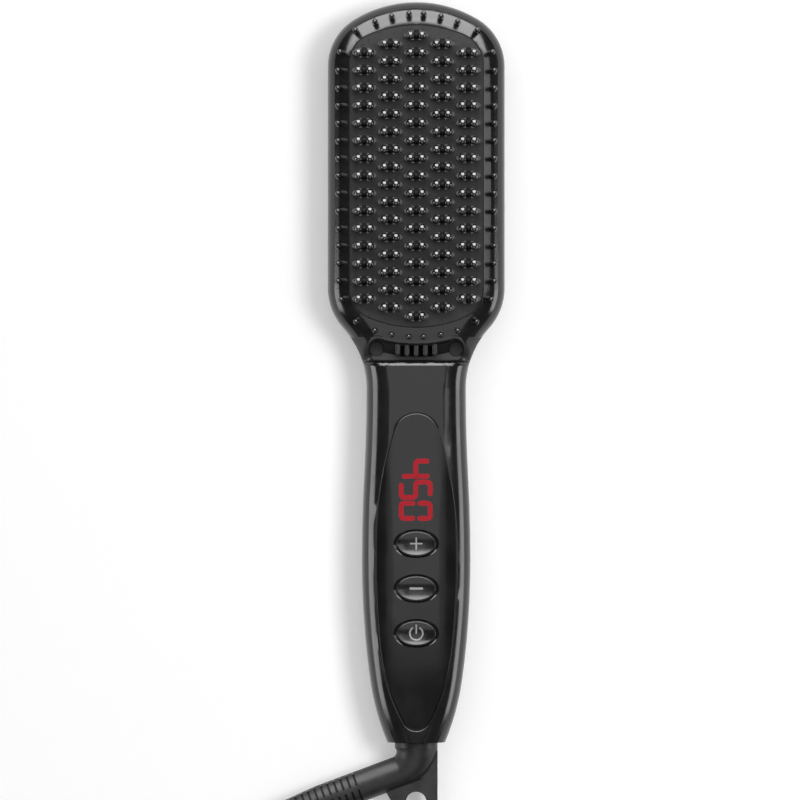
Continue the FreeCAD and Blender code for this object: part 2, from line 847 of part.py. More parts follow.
def add_vent_comb(body):
    """Upright ribs with round lower ends, and the slots between them through the hollow's floor."""
    ribs, slots = [], []
    count, pitch = int(size("vent_count")), size("vent_pitch")
    half_rib, half_slot = (pitch - size("vent_width")) / 2, size("vent_width") / 2
    for i in range(count + 1):
        x = (i - count / 2) * pitch
        low = size("rib_bottom") + smile_rise(x) + half_rib
        high = size("hollow_top") + smile_rise(x)
        ribs.append(arc(Vector(x, low, 0), half_rib, math.pi, 2 * math.pi))
        ribs.append(Part.LineSegment(Vector(x + half_rib, low, 0), Vector(x + half_rib, high, 0)))
        ribs.append(Part.LineSegment(Vector(x + half_rib, high, 0), Vector(x - half_rib, high, 0)))
        ribs.append(Part.LineSegment(Vector(x - half_rib, high, 0), Vector(x - half_rib, low, 0)))
    for i in range(count):
        x = (i - (count - 1) / 2) * pitch
        slots += rectangle(x - half_slot, size("rib_bottom"), x + half_slot, size("hollow_top") - half_rib)
    pad(body, "vent_ribs", ribs, "hollow_floor", "rib_top - hollow_floor")
    at_top, end = flat_edge_at(size("rib_top")), size("rib_bottom") + size("vent_pitch")

    def rib_edge(edge):
        return at_top(edge) and min(vertex.Y for vertex in edge.Vertexes) < end

    fillet(body, "rib_rounding", "rib_round", rib_edge)
    pocket(body, "vent_slots", slots, "parting_height", "front_height")


def smile_rise(x):
    """How far the neck's sagging curves rise from their middle, some way out."""
    radius = size("hollow_top_radius")
    return radius - math.sqrt(radius**2 - x**2)


def on_arc(arc_number, angle, inset):
    """A point at an angle in degrees on one of the outline's convex arcs, moved inwards."""
    centre, radius = housing_arcs()[arc_number][:2]
    turn = math.radians(angle)
    reach = radius - inset
    return centre.x + reach * math.cos(turn), centre.y + reach * math.sin(turn)


def pin_places():
    """The places of the guard pins, inset from the housing's outline."""
    bottom, top = plate_ends()
    middle = (top + bottom) / 2
    count, pitch, inset = int(size("side_pins")), size("pin_pitch"), size("pin_inset")
    x = size("head_half_width") - inset
    right = [(x, middle + (i - (count - 1) / 2) * pitch) for i in range(count)]
    crown_y = size("head_top") - size("crown_radius")
    ring = size("crown_radius") - size("pin_crown_inset")
    for i in range(int(size("crown_pins"))):
        turn = (size("first_pin") + i * pitch) / ring
        out = ring * math.sin(turn)
        right.append((out, crown_y + ring * math.cos(turn)))
        right.append((out, bottom - size("lower_pin_drop") + smile_rise(out)))
    right.append(on_arc(1, size("corner_pin_angle"), inset))
    right.append(on_arc(1, size("second_corner_pin_angle"), inset))
    right.append(on_arc(2, -size("shoulder_pin_angle"), size("pin_shoulder_inset")))
    right.append(on_arc(2, -size("second_shoulder_pin_angle"), size("second_shoulder_inset")))
    return [(side * x, y) for x, y in right for side in SIDES]


def make_guard_pins():
    """Slim tapered pins with domed tips, moulded on the head frame."""
    foot, radius, tip = size("front_height") - size("pin_root"), size("pin_radius"), size("pin_tip_radius")
    shoulder = size("pin_top") - tip
    pin = Part.makeCone(radius, tip, shoulder - foot, Vector(0, 0, foot))
    pin = pin.fuse(Part.makeSphere(tip, Vector(0, 0, shoulder)))
    pins = [pin.translated(Vector(x, y, 0)) for x, y in pin_places()]
    return shape_feature("guard_pins", Part.makeCompound(pins))


# ---------------------------------------------------------------- heating plate and teeth


def tooth_places():
    """Five columns about the plate's middle, each a row shorter than its inner neighbour."""
    pitch, rows = size("row_pitch"), int(size("middle_rows"))
    middle = sum(plate_ends()) / 2
    places = []
    for column in range(-2, 3):
        count = rows - abs(column)
        for row in range(count):
            places.append((column * size("column_pitch"), middle + ((count - 1) / 2 - row) * pitch))
    return places


def lens(x, y, grow):
    """A tooth's pointed-oval section: two arcs between two blunt points."""
    half_long, half_wide = size("tooth_length") / 2 + grow, size("tooth_width") / 2 + grow
    point = size("tooth_point") / 2
    rise = half_wide - point
    radius = (half_long**2 + rise**2) / (2 * rise)
    turn = math.asin(half_long / radius)
    up, down = math.pi / 2, -math.pi / 2
    return [
        arc(Vector(x, y + half_wide - radius, 0), radius, up - turn, up + turn),
        arc(Vector(x, y - half_wide + radius, 0), radius, down - turn, down + turn),
        Part.LineSegment(Vector(x + half_long, y - point, 0), Vector(x + half_long, y + point, 0)),
        Part.LineSegment(Vector(x - half_long, y - point, 0), Vector(x - half_long, y + point, 0)),
    ]


def make_heating_plate():
    body = new_body("heating_plate")
    top = "front_height + plate_proud"
    flange_top = "front_height - wall"
    overhang = size("flange_overhang")
    pad(body, "flange", plate_outline(overhang), flange_top, "flange_thickness", False)
    pad(body, "face", plate_outline(0), flange_top, "wall + plate_proud")
    sections = [edge for x, y in tooth_places() for edge in lens(x, y, 0)]
    pad(body, "teeth", sections, top, "tooth_height")
    bosses = holes(clamp_screw_places(), size("clamp_boss_radius"))
    flange_foot = "front_height - wall - flange_thickness"
    pad(body, "clamp_bosses", bosses, flange_foot, "heater_thickness", False)
    pilots = holes(clamp_screw_places(), size("screw_radius") + size("pilot_gap"))
    pilot_foot = f"{flange_foot} - heater_thickness - {PAST}"
    pocket(body, "clamp_pilots", pilots, pilot_foot, f"heater_thickness + 2 * {PAST}")
    return body


def make_tooth_caps():
    """Heat-insulating caps on the teeth, each with three domed nubs."""
    foot = size("front_height") + size("plate_proud") + size("tooth_height")
    outline = Part.Wire(Part.__sortEdges__([edge.toShape() for edge in lens(0, 0, size("cap_overhang"))]))
    cap = Part.Face(outline).extrude(Vector(0, 0, size("cap_height")))
    for i in THREE:
        radius = size("nub_radius") if i else size("middle_nub_radius")
        centre = Vector(i * size("nub_pitch"), 0, size("cap_height") + size("nub_height") - radius)
        cap = cap.fuse(Part.makeSphere(radius, centre))
    caps = [cap.translated(Vector(x, y, foot)) for x, y in tooth_places()]
    return shape_feature("tooth_caps", Part.makeCompound(caps))


def clamp_screw_places():
    middle, spacing = sum(plate_ends()) / 2, size("clamp_screw_spacing")
    return [(0, middle + i * spacing) for i in THREE]


def make_heater_stack():
    """Ceramic heaters under the plate, pressed on by a clamp over an insulating sheet."""
    under_plate = "front_height - wall - flange_thickness"
    heaters = [
        block(
            f"heater_{name}",
            "2 * heater_half_width",
            "heater_length",
            "heater_thickness",
            "0",
            f"{PLATE_MIDDLE} + {side} * heater_spacing / 2",
            f"{under_plate} - heater_thickness",
        )
        for name, side in (("lower", -1), ("upper", 1))
    ]
    gather("ceramic_heaters", heaters)
    width, length = "2 * clamp_half_width", "2 * clamp_screw_spacing + 3 * clamp_boss_radius"
    sheet_foot = f"{under_plate} - heater_thickness - sheet_thickness"
    insulation = block("insulation_blank", width, length, "sheet_thickness", "0", PLATE_MIDDLE, sheet_foot)
    clamp_foot = f"{sheet_foot} - clamp_thickness"
    clamp = block("clamp_blank", width, length, "clamp_thickness", "0", PLATE_MIDDLE, clamp_foot)
    hole_depth = f"clamp_thickness + sheet_thickness + 2 * {PAST}"
    drills = {}
    for owner in ("insulation", "clamp"):
        drills[owner] = [
            rod(
                f"{owner}_hole_{i + 1}",
                "screw_radius + screw_clearance",
                hole_depth,
                "0",
                f"{PLATE_MIDDLE} + {i} * clamp_screw_spacing",
                f"{clamp_foot} - {PAST}",
            )
            for i in THREE
        ]
    cut("insulation_sheet", insulation, fuse("insulation_drills", drills["insulation"]))
    cut("heater_clamp", clamp, fuse("clamp_drills", drills["clamp"]))
    screws = []
    for i in THREE:
        y = f"{PLATE_MIDDLE} + {i} * clamp_screw_spacing"
        head = rod(
            f"clamp_screw_head_{i + 1}",
            "screw_head_radius",
            "screw_head_height / 2",
            "0",
            y,
            f"{clamp_foot} - screw_head_height / 2",
        )
        shank = rod(
            f"clamp_screw_shank_{i + 1}",
            "screw_radius",
            "clamp_thickness + sheet_thickness + heater_thickness - screw_clearance",
            "0",
            y,
            clamp_foot,
        )
        screws.append(fuse(f"clamp_screw_{i + 1}", [head, shank]))
    gather("clamp_screws", screws)
    half, x = "heater_thickness / 2", "thermistor_offset"
    tab_foot = f"{under_plate} - {half}"
    tab = block("thermistor_tab", "thermistor_length", "thermistor_width", half, x, PLATE_MIDDLE, tab_foot)
    bead = rod("thermistor_bead", "thermistor_bead_radius", half, x, PLATE_MIDDLE, f"{tab_foot} - {half}")
    fuse("thermistor", [tab, bead])
    fuse_start = f"{PLATE_MIDDLE} + clamp_screw_spacing / 2 - fuse_length / 2"
    fuse_height = f"{clamp_foot} - fuse_radius"
    rod("thermal_fuse", "fuse_radius", "fuse_length", "fuse_offset", fuse_start, fuse_height, ALONG_Y)


def make_heat_shield():
    """A thin metal tray on the back shell's ledge, behind the heater."""
    body = new_body("heat_shield")
    ledge = "parting_height - back_ledge_depth"
    outline = plate_outline(size("deep_inset") + size("wall"))
    pad(body, "shield_sheet", outline, ledge, "shield_thickness")
    return body


# ---------------------------------------------------------------- control panel, buttons, boards


def make_control_panel():
    """A glossy leaf-shaped inlay, crowned across, with a dish round each button."""
    body = new_body("control_panel")
    floor = "front_height - panel_depth - panel_thickness"
    face = "front_height - panel_depth + panel_crown"
    pad(body, "panel_sheet", panel_outline(0), floor, "panel_thickness + panel_crown")
    cut_across(body, "crown", above_crown(), "-2 * (panel_bottom - panel_tip_radius)", "XZ_Plane")
    foot = size("front_height") - size("panel_depth") - size("panel_thickness")
    fillet(body, "panel_rounding", "panel_round", lambda edge: all(v.Z > foot + TINY for v in edge.Vertexes))
    gap = size("button_gap")
    long_radius, short_radius = size("button_long") + gap, size("button_short") + gap
    for name, y in zip(BUTTONS, button_levels()):
        foot = (ellipse(y, long_radius, short_radius), f"{face} - dish_depth")
        rim = (ellipse(y, size("dish_long"), size("dish_short")), face)
        loft_between(body, "SubtractiveLoft", f"{name}_dish", foot, rim)
    openings = [edge for y in button_levels() for edge in ellipse(y, long_radius, short_radius)]
    pocket(body, "button_openings", openings, f"{floor} - {PAST}", f"panel_thickness + 2 * {PAST}")
    return body


def above_crown():
    """What lies over the panel's crown, seen along the handle: an arc with its ends carried outwards."""
    half, crown = size("panel_half_width"), size("panel_crown")
    top = size("front_height") - size("panel_depth") + crown
    radius = (half**2 + crown**2) / (2 * crown)
    turn = math.asin((half + PAST) / radius)
    side, low = half + PAST, top - radius + radius * math.cos(turn)
    left, right = Vector(-side, low, 0), Vector(side, low, 0)
    high_left, high_right = Vector(-side, top + PAST, 0), Vector(side, top + PAST, 0)
    bow = arc(Vector(0, top - radius, 0), radius, math.pi / 2 - turn, math.pi / 2 + turn)
    return [
        bow,
        Part.LineSegment(left, high_left),
        Part.LineSegment(high_left, high_right),
        Part.LineSegment(high_right, right),
    ]


def make_button(name, level):
    """A pressed key: a hollowed oval cap, a wider flange that keeps it in, a stem on its switch."""
    body = new_body(f"{name}_key_blank")
    ceiling = "front_height - panel_depth - panel_thickness - panel_floor_thickness"
    flange_top = f"{ceiling} - button_gap"
    long_radius, short_radius = size("button_long"), size("button_short")
    flange = size("button_flange")
    face = "front_height - panel_depth + panel_crown + button_proud"
    outline = ellipse(level, long_radius, short_radius)
    pad(body, f"{name}_cap", outline, flange_top, f"{face} - ({flange_top})")
    face_level = size("front_height") - size("panel_depth") + size("panel_crown") + size("button_proud")
    fillet(body, f"{name}_rounding", "button_round", flat_edge_at(face_level))
    rim = ellipse(level, long_radius + flange, short_radius + flange)
    pad(body, f"{name}_flange", rim, flange_top, "button_flange_thickness", False)
    flange_foot = f"{flange_top} - button_flange_thickness"
    plunger_top = "board_height + board_thickness + switch_height + plunger_stand"
    stem = circle(0, level, size("button_stem_radius"))
    pad(body, f"{name}_stem", stem, plunger_top, f"{flange_foot} - ({plunger_top})")
    hollow = solid(
        "Part::Ellipsoid",
        f"{name}_thumb_hollow",
        Radius1="button_hollow_tall",
        Radius2="button_hollow_long",
        Radius3="button_hollow_short",
    )
    hollow_height = f"{face} - button_hollow_depth + button_hollow_tall"
    place(hollow, "0", f"plus_level - {BUTTONS.index(name)} * button_pitch", hollow_height)
    return cut(f"{name}_button", body, hollow)


def make_switches():
    """Three tact switches on the control board: fixed housings and sliding plungers."""
    housings = []
    board_face = "board_height + board_thickness"
    for i, name in enumerate(BUTTONS):
        y = f"plus_level - {i} * button_pitch"
        width = "switch_width"
        case = block(f"{name}_switch_case", width, width, "switch_height", "0", y, board_face)
        foot = f"{board_face} + switch_height + plunger_stand - plunger_length"
        well_foot = f"{foot} - button_travel - button_gap"
        well = rod(f"{name}_switch_well", "plunger_radius + button_gap", "switch_height", "0", y, well_foot)
        housings.append(cut(f"{name}_switch", case, well))
        rod(f"{name}_plunger", "plunger_radius", "plunger_length", "0", y, foot)
    gather("tact_switches", housings)


# bought-in parts on the power board: name, (width, length, height), place from the board's middle
POWER_BLOCKS = (
    ("film_capacitor", (6, 13, 4.6), (-5, 12)),
    ("triac", (10, 4.6, 4.4), (4, 22)),
    ("transformer", (12, 12, 4.8), (3, -6)),
    ("smoothing_capacitor", (6, 6, 4.6), (-7, -8)),
    ("terminal_block", (12, 6, 4.4), (0, -28)),
)


def make_boards():
    """The control board on its posts with the readout, and the power board with its parts."""
    length = "board_top - board_bottom"
    middle = "(board_top + board_bottom) / 2"
    width = "2 * board_half_width"
    blank = block("board_blank", width, length, "board_thickness", "0", middle, "board_height")
    drills, screws = [], []
    drill_length = f"board_thickness + 2 * {PAST}"
    for i, (side, end) in enumerate(((-1, 1), (1, 1), (-1, -1), (1, -1))):
        x = f"{side} * (board_half_width - board_post_inset)"
        y = "board_top - board_post_inset" if end > 0 else "board_bottom + board_post_inset"
        drill_radius = "screw_radius / 2 + screw_clearance"
        drills.append(rod(f"board_drill_{i}", drill_radius, drill_length, x, y, f"board_height - {PAST}"))
        head_foot = "board_height - board_screw_head_height"
        head = rod(
            f"board_screw_head_{i}", "board_screw_head_radius", "board_screw_head_height", x, y, head_foot
        )
        shank_length = "board_thickness + ledge_depth - board_screw_head_height"
        shank = rod(f"board_screw_shank_{i}", "screw_radius / 2", shank_length, x, y, "board_height")
        screws.append(fuse(f"board_screw_{i}", [head, shank]))
    cut("control_board", blank, fuse("board_drills", drills))
    gather("board_screws", screws)
    display_foot = "board_height + board_thickness"
    display_top = "front_height - panel_depth - panel_thickness - panel_gap"
    block(
        "display_module",
        "display_width",
        "display_length",
        f"{display_top} - ({display_foot})",
        "0",
        "display_level",
        display_foot,
    )
    power_length = "power_board_top - power_board_bottom"
    power_middle = "(power_board_top + power_board_bottom) / 2"
    width = "2 * power_board_half_width"
    block("power_board", width, power_length, "board_thickness", "0", power_middle, "power_board_height")
    face = "power_board_height + board_thickness"
    parts = [
        block(name, width, length, height, x, f"{power_middle} + {along}", face)
        for name, (width, length, height), (x, along) in POWER_BLOCKS
    ]
    gather("power_components", parts)


def make_ion_outlet():
    """The high-voltage block in the neck and its needle behind the vent comb."""
    foot = "parting_height - back_ledge_depth"
    length = "ion_top - ion_bottom"
    middle = "(ion_top + ion_bottom) / 2"
    block("ion_generator", "2 * ion_half_width", length, "ion_height", "0", middle, foot)
    height = f"{foot} + ion_height - 2 * emitter_radius"
    needle = rod("needle", "emitter_radius", "hollow_bottom - ion_top", "0", "ion_top", height, ALONG_Y)
    tip = solid(
        "Part::Cone",
        "needle_tip",
        Radius1="emitter_radius",
        Radius2="emitter_radius / 6",
        Height="3 * emitter_radius",
    )
    place(tip, "0", "hollow_bottom", height, ALONG_Y)
    fuse("ion_emitter", [needle, tip])


# ---------------------------------------------------------------- screws and wires


def make_case_screws():
    """Two screws down the neck wells and two up the handle's end, all of one size."""
    head_radius, head_height = "screw_head_radius", "screw_head_height"
    screws = []
    for side in SIDES:
        x, y = f"{side} * well_spacing / 2", "well_level"
        head = rod(f"neck_head_{side + 1}", head_radius, head_height, x, y, "parting_height + screw_seat")
        shank_foot = "parting_height - screw_bite"
        shank = rod(f"neck_shank_{side + 1}", "screw_radius", "screw_seat + screw_bite", x, y, shank_foot)
        screws.append(fuse(f"neck_screw_{side + 1}", [head, shank]))
    seat = "parting_height - screw_seat"
    for side in SIDES:
        x, y = f"{side} * tail_screw_spacing / 2", "tail_screw_level"
        head = rod(f"tail_head_{side + 1}", head_radius, head_height, x, y, seat, UPSIDE_DOWN)
        shank = rod(f"tail_shank_{side + 1}", "screw_radius", "screw_seat + screw_bite", x, y, seat)
        screws.append(fuse(f"tail_screw_{side + 1}", [head, shank]))
    return gather("case_screws", screws)


def rounded_path(points, share=0.45):
    """Straight runs joined by tangent arcs, and the arcs' radii."""
    runs = [(b - a).Length for a, b in zip(points, points[1:])]
    edges, radii = [], []
    start = points[0]
    for i in range(1, len(points) - 1):
        here = points[i]
        back = (points[i - 1] - here).normalize()
        ahead = (points[i + 1] - here).normalize()
        half_turn = (math.pi - back.getAngle(ahead)) / 2
        trim = share * min(runs[i - 1], runs[i])
        radius = trim / math.tan(half_turn)
        inwards = (back + ahead).normalize()
        centre = here + inwards * (radius / math.cos(half_turn))
        entry, leave = here + back * trim, here + ahead * trim
        edges.append(Part.LineSegment(start, entry).toShape())
        edges.append(Part.Arc(entry, centre - inwards * radius, leave).toShape())
        radii.append(radius)
        start = leave
    edges.append(Part.LineSegment(start, points[-1]).toShape())
    return Part.Wire(edges), radii


def tube(points, radius):
    """A round tube along a path of runs and arcs."""
    path, radii = rounded_path(points)
    section = Part.Wire([Part.Circle(points[0], points[1] - points[0], radius).toShape()])
    swept = path.makePipeShell([section], True, False)
    return swept, path.Length, radii


def make_leads():
    """The insulated wires to the heaters, and from the swivel to the power board."""
    half, radius, tail = size("lead_spacing") / 2, size("lead_radius"), size("lead_tail")
    plate_bottom = plate_ends()[0]
    under_plate = size("front_height") - size("wall") - size("flange_thickness")
    heater_foot = under_plate - size("heater_thickness") / 2
    first_heater = sum(plate_ends()) / 2 - size("heater_spacing") / 2 - size("heater_length") / 2
    low = size("power_board_height") + size("board_thickness") + radius
    neck = size("lead_neck_height")
    beside = size("clamp_half_width") + 2 * radius
    heater_wires = []
    for side in SIDES:
        route = [
            Vector(side * size("heater_half_width"), first_heater + tail, heater_foot),
            Vector(side * beside, first_heater + tail, heater_foot),
            Vector(side * beside, first_heater, neck + 2 * radius),
            Vector(side * half, plate_bottom - 2 * radius, neck),
            Vector(side * half, size("ion_bottom") - 2 * radius, neck),
            Vector(side * half, size("power_board_top") - radius, low + size("lead_drop")),
            Vector(side * half, size("power_board_top") - tail, low),
        ]
        heater_wires.append(tube(route, radius)[0])
    shape_feature("heater_leads", Part.makeCompound(heater_wires))
    mains_wires = []
    end, height = size("journal_end") + size("swivel_gap"), size("swivel_height")
    half = size("mains_lead_spacing") / 2
    terminal = size("power_board_bottom")
    for side in SIDES:
        route = [
            Vector(side * half, end, height),
            Vector(side * half, end + size("mains_lead_straight"), height - radius),
            Vector(side * half, terminal + radius, low + radius),
            Vector(side * half, terminal + size("mains_lead_foot"), low),
        ]
        mains_wires.append(tube(route, radius)[0])
    shape_feature("mains_leads", Part.makeCompound(mains_wires))


# ---------------------------------------------------------------- swivel, boot, cord and plug


def make_swivel():
    """A plastic sleeve in the handle's end, and the ring that keeps the boot's journal in it."""
    start, bore = "handle_end + wall", "journal_radius + running_gap"
    outer = swivel_bore("sleeve_outer", "sleeve_radius", start, "sleeve_length")
    inner = swivel_bore("sleeve_inner", bore, f"{start} - {PAST}", f"sleeve_length + 2 * {PAST}")
    cut("swivel_sleeve", outer, inner)
    start, bore = f"{start} + sleeve_length + swivel_gap", "journal_radius - groove_depth"
    ring = swivel_bore("clip_outer", "clip_radius", start, "clip_thickness")
    hole = swivel_bore("clip_inner", bore, f"{start} - {PAST}", f"clip_thickness + 2 * {PAST}")
    cut("retaining_clip", ring, hole)


def arm_direction():
    turn = math.radians(size("arm_angle"))
    return Vector(math.cos(turn), math.sin(turn), 0)


def arm_radius_at(distance):
    """The strain relief's radius: even at first, then tapering to its end."""
    start, end = size("arm_taper_start"), size("arm_length")
    share = max(0.0, distance - start) / (end - start)
    return size("arm_radius") + share * (size("arm_end_radius") - size("arm_radius"))


def elbow():
    return Vector(0, size("elbow_level"), size("swivel_height"))


def make_cord_boot():
    """Collar and journal on the swivel's axis, an elbow, a slotted strain relief and a hang tab."""
    axis, along, height = Vector(0, 1, 0), arm_direction(), size("swivel_height")
    collar_top = size("handle_end") - size("swivel_gap")
    bend = size("elbow_bend_radius")
    half_turn = (math.pi - along.getAngle(axis)) / 2
    trim = bend * math.tan(half_turn)
    entry, leave = elbow() + axis * trim, elbow() + along * trim
    inwards = (axis + along).normalize()
    middle = elbow() + inwards * (bend / math.cos(half_turn) - bend)
    ball_centre = Vector(0, size("elbow_ball_level"), height)
    ball = Part.makeSphere(size("collar_radius"), ball_centre)
    collar_length = collar_top - ball_centre.y
    collar = Part.makeCylinder(size("collar_radius"), collar_length, ball_centre, axis)
    bend_path = Part.Wire([Part.Arc(entry, middle, leave).toShape()])
    rings = [
        Part.Wire([Part.Circle(entry, axis, size("collar_radius")).toShape()]),
        Part.Wire([Part.Circle(leave, along, size("arm_radius")).toShape()]),
    ]
    knee = bend_path.makePipeShell(rings, True, False)
    straight, tapering = size("arm_taper_start"), size("arm_length") - size("arm_taper_start")
    arm = Part.makeCylinder(size("arm_radius"), straight, elbow(), along)
    taper_foot = elbow() + along * straight
    taper = Part.makeCone(size("arm_radius"), size("arm_end_radius"), tapering, taper_foot, along)
    arm = arm.fuse(taper).cut(strain_relief_slots())
    throat = Vector(0, collar_top, height)
    journal_length = size("journal_end") - collar_top
    journal = Part.makeCylinder(size("journal_radius"), journal_length, throat, axis)
    bore = Part.makeCylinder(size("journal_bore"), journal_length, throat, axis)
    groove_y = size("handle_end") + size("wall") + size("sleeve_length") + size("swivel_gap")
    groove_foot, width = Vector(0, groove_y, height), size("clip_thickness")
    core = Part.makeCylinder(size("journal_radius") - size("groove_depth"), width, groove_foot, axis)
    groove = Part.makeCylinder(size("journal_radius") + PAST, width, groove_foot, axis).cut(core)
    boot = collar.fuse([ball, knee, journal, arm, hang_tab()])
    boot = boot.cut([groove, bore, hang_hole()]).removeSplitter()
    return shape_feature("cord_boot", boot)


def hang_tab():
    """A flat web in the bend's outer corner that runs into a round lobe."""
    radius, thickness = size("tab_radius"), size("tab_thickness")
    high, lobe = size("tab_top"), Vector(0, size("tab_level"), 0)
    web = elbow() + arm_direction() * (size("slot_start") - size("collar_radius"))
    web.z = 0
    turn = angle_to(lobe, web) + math.acos(radius / (web - lobe).Length)
    touch = lobe + Vector(math.cos(turn), math.sin(turn), 0) * radius
    right = lobe + Vector(radius, 0, 0)
    corners = [Vector(radius, high, 0), Vector(0, high, 0), web, touch, lobe, right]
    tab = Part.Face(Part.makePolygon(corners + corners[:1])).extrude(UP * thickness)
    tab = tab.fuse(Part.makeCylinder(radius, thickness, lobe))
    tab.translate(UP * (size("swivel_height") - thickness / 2))
    return tab


def hang_hole():
    depth = size("tab_thickness") + 2 * PAST
    foot = Vector(0, size("tab_level"), size("swivel_height") - depth / 2)
    return Part.makeCylinder(size("hang_hole_radius"), depth, foot)


def strain_relief_slots():
    """Cuts through the front and back of the strain relief that leave a core, a spine and a rim."""
    along = arm_direction()
    reach, core, spine = 2 * size("arm_radius"), size("slot_core"), size("slot_spine")
    cuts = []
    for i in range(int(size("slot_count"))):
        distance = size("slot_start") + i * size("slot_pitch")
        half = arm_radius_at(distance + size("slot_width")) - size("slot_rim")
        block_cut = Part.makeBox(size("slot_width"), 2 * half, 2 * reach, Vector(0, -half, -reach))
        bar = Part.makeBox(size("slot_width"), 2 * spine, 2 * reach, Vector(0, -spine, -reach))
        hub = Part.makeCylinder(core, size("slot_width"), Vector(), Vector(1, 0, 0))
        slot = block_cut.cut([bar, hub])
        slot.Placement = Placement(elbow() + along * distance, Rotation(UP, size("arm_angle")))
        cuts.append(slot)
    return cuts


def cord_route():
    """The lead from the strain relief down to the floor and round into the coil."""
    low = size("cord_radius")
    start = elbow() + arm_direction() * size("arm_length")
    return [
        start,
        start + arm_direction() * size("cord_exit_run"),
        Vector(-83.7, -183.5, 7.5),
        Vector(-89.9, -198.2, low),
        Vector(-91.2, -212.2, low),
        Vector(-91.0, -225.5, low),
    ]


COIL_CENTRE = Vector(-52.0, -228.0, 0)


def tail_route():
    """The short end from the coil to the plug."""
    low = size("cord_radius")
    return [
        Vector(-55.5, -267.0, low),
        Vector(-37.5, -267.5, low),
        Vector(-20.0, -263.0, size("plug_height") / 2),
        Vector(-7.0, -251.5, size("plug_height") / 2),
    ]


def make_cord():
    """The lead, the coil of its put-away length, and the end to the plug."""
    radius = size("cord_radius")
    for name, route in (("cord", cord_route()), ("cord_tail", tail_route())):
        shape, length, radii = tube(route, radius)
        fill = shape.Volume / (math.pi * radius**2 * length)
        print(name, "length", round(length, 1), "fill", round(fill, 4), "radii", [round(r) for r in radii])
        shape_feature(name, shape)
    half, height, middle = size("coil_half_width"), size("coil_height"), size("coil_middle_radius")
    corner = radius
    section = [
        Vector(middle - half, 0, corner),
        Vector(middle - half + corner, 0, 0),
        Vector(middle + half - corner, 0, 0),
        Vector(middle + half, 0, corner),
        Vector(middle + half, 0, height - corner),
        Vector(middle + half - corner, 0, height),
        Vector(middle - half + corner, 0, height),
        Vector(middle - half, 0, height - corner),
    ]
    face = Part.Face(Part.makePolygon(section + section[:1]))
    ring = face.revolve(Vector(), UP, 360)
    ring.translate(COIL_CENTRE)
    shape_feature("cord_coil", ring)


def rounded_section(along, half_width, half_height, corner):
    """A rectangle with round corners, square to X."""
    edges = []
    for i, (y_side, z_side) in enumerate(((1, 1), (-1, 1), (-1, -1), (1, -1))):
        centre = Vector(along, y_side * (half_width - corner), z_side * (half_height - corner))
        bow = Part.Circle(centre, Vector(1, 0, 0), corner)
        bow.XAxis = Vector(0, 1, 0)
        edges.append(Part.ArcOfCircle(bow, i * math.pi / 2, (i + 1) * math.pi / 2).toShape())
    joined = []
    for here, there in zip(edges, edges[1:] + edges[:1]):
        joined.append(here)
        joined.append(Part.LineSegment(here.lastVertex().Point, there.firstVertex().Point).toShape())
    return Part.Wire(joined)


def make_plug():
    """A flat two-blade mains plug at the end of the cord."""
    end, before = tail_route()[-1], tail_route()[-2]
    heading = end - before
    heading.z = 0
    turn = Rotation(Vector(1, 0, 0), heading)
    length, half, tall = size("plug_length"), size("plug_half_width"), size("plug_height") / 2
    neck, neck_end, corner = size("plug_neck_radius"), size("plug_neck_length"), size("plug_round")
    wide_from, flared = (neck_end + length) / 2, neck + size("plug_neck_flare")
    sections = [
        rounded_section(0, neck + TINY, neck + TINY, neck),
        rounded_section(neck_end, flared, flared, neck),
        rounded_section(wide_from, half, tall, corner),
        rounded_section(length, half, tall, corner),
    ]
    body = Part.makeLoft(sections, True, True)
    body.Placement = Placement(end, turn)
    shape_feature("plug_body", body)
    blades = []
    for side in SIDES:
        blade = Part.makeBox(
            size("blade_length"),
            size("blade_thickness"),
            size("blade_width"),
            Vector(
                length,
                side * size("blade_spacing") / 2 - size("blade_thickness") / 2,
                -size("blade_width") / 2,
            ),
        )
        blade.Placement = Placement(end, turn)
        blades.append(blade)
    shape_feature("plug_blades", Part.makeCompound(blades))


# ---------------------------------------------------------------- the whole brush

NODES = """back_shell front_shell heating_plate tooth_caps ceramic_heaters insulation_sheet heater_clamp
clamp_screws thermistor thermal_fuse heat_shield control_panel display_module plus_button minus_button
power_button plus_plunger minus_plunger power_plunger tact_switches control_board board_screws power_board
power_components ion_generator ion_emitter heater_leads mains_leads case_screws swivel_sleeve retaining_clip
cord_boot cord cord_coil cord_tail plug_body plug_blades""".split()


def main():
    make_back_shell()
    make_front_shell()
    make_heating_plate()
    make_tooth_caps()
    make_heater_stack()
    make_heat_shield()
    make_control_panel()
    for name, level in zip(BUTTONS, button_levels()):
        make_button(name, level)
    make_switches()
    make_boards()
    make_ion_outlet()
    make_case_screws()
    make_leads()
    make_swivel()
    make_cord_boot()
    make_cord()
    make_plug()
    doc.recompute()
    failed = [item.Name for item in doc.Objects if {"Invalid", "Error"} & set(item.State)]
    if failed:
        raise RuntimeError(f"these objects failed: {failed}")
    os.makedirs("parts", exist_ok=True)
    for name in NODES:
        shape = doc.getObject(name).Shape
        if shape.isNull() or not shape.isValid() or not shape.Solids:
            raise RuntimeError(f"{name} has no valid solid")
        shape.exportStep(f"parts/{name}.step")
    print(len(NODES), "nodes written")


main()
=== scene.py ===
"""The looks of a heated hair straightening brush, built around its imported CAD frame.

The brush lies on its back: X runs across it, Y from the cord to the head, and Z from the floor to
the teeth. Sizes are in millimetres, and MM turns them into metres. Only the lamps and the floor
are written in metres.
"""

import math

import bmesh
import bpy
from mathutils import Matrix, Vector
from mathutils.bvhtree import BVHTree


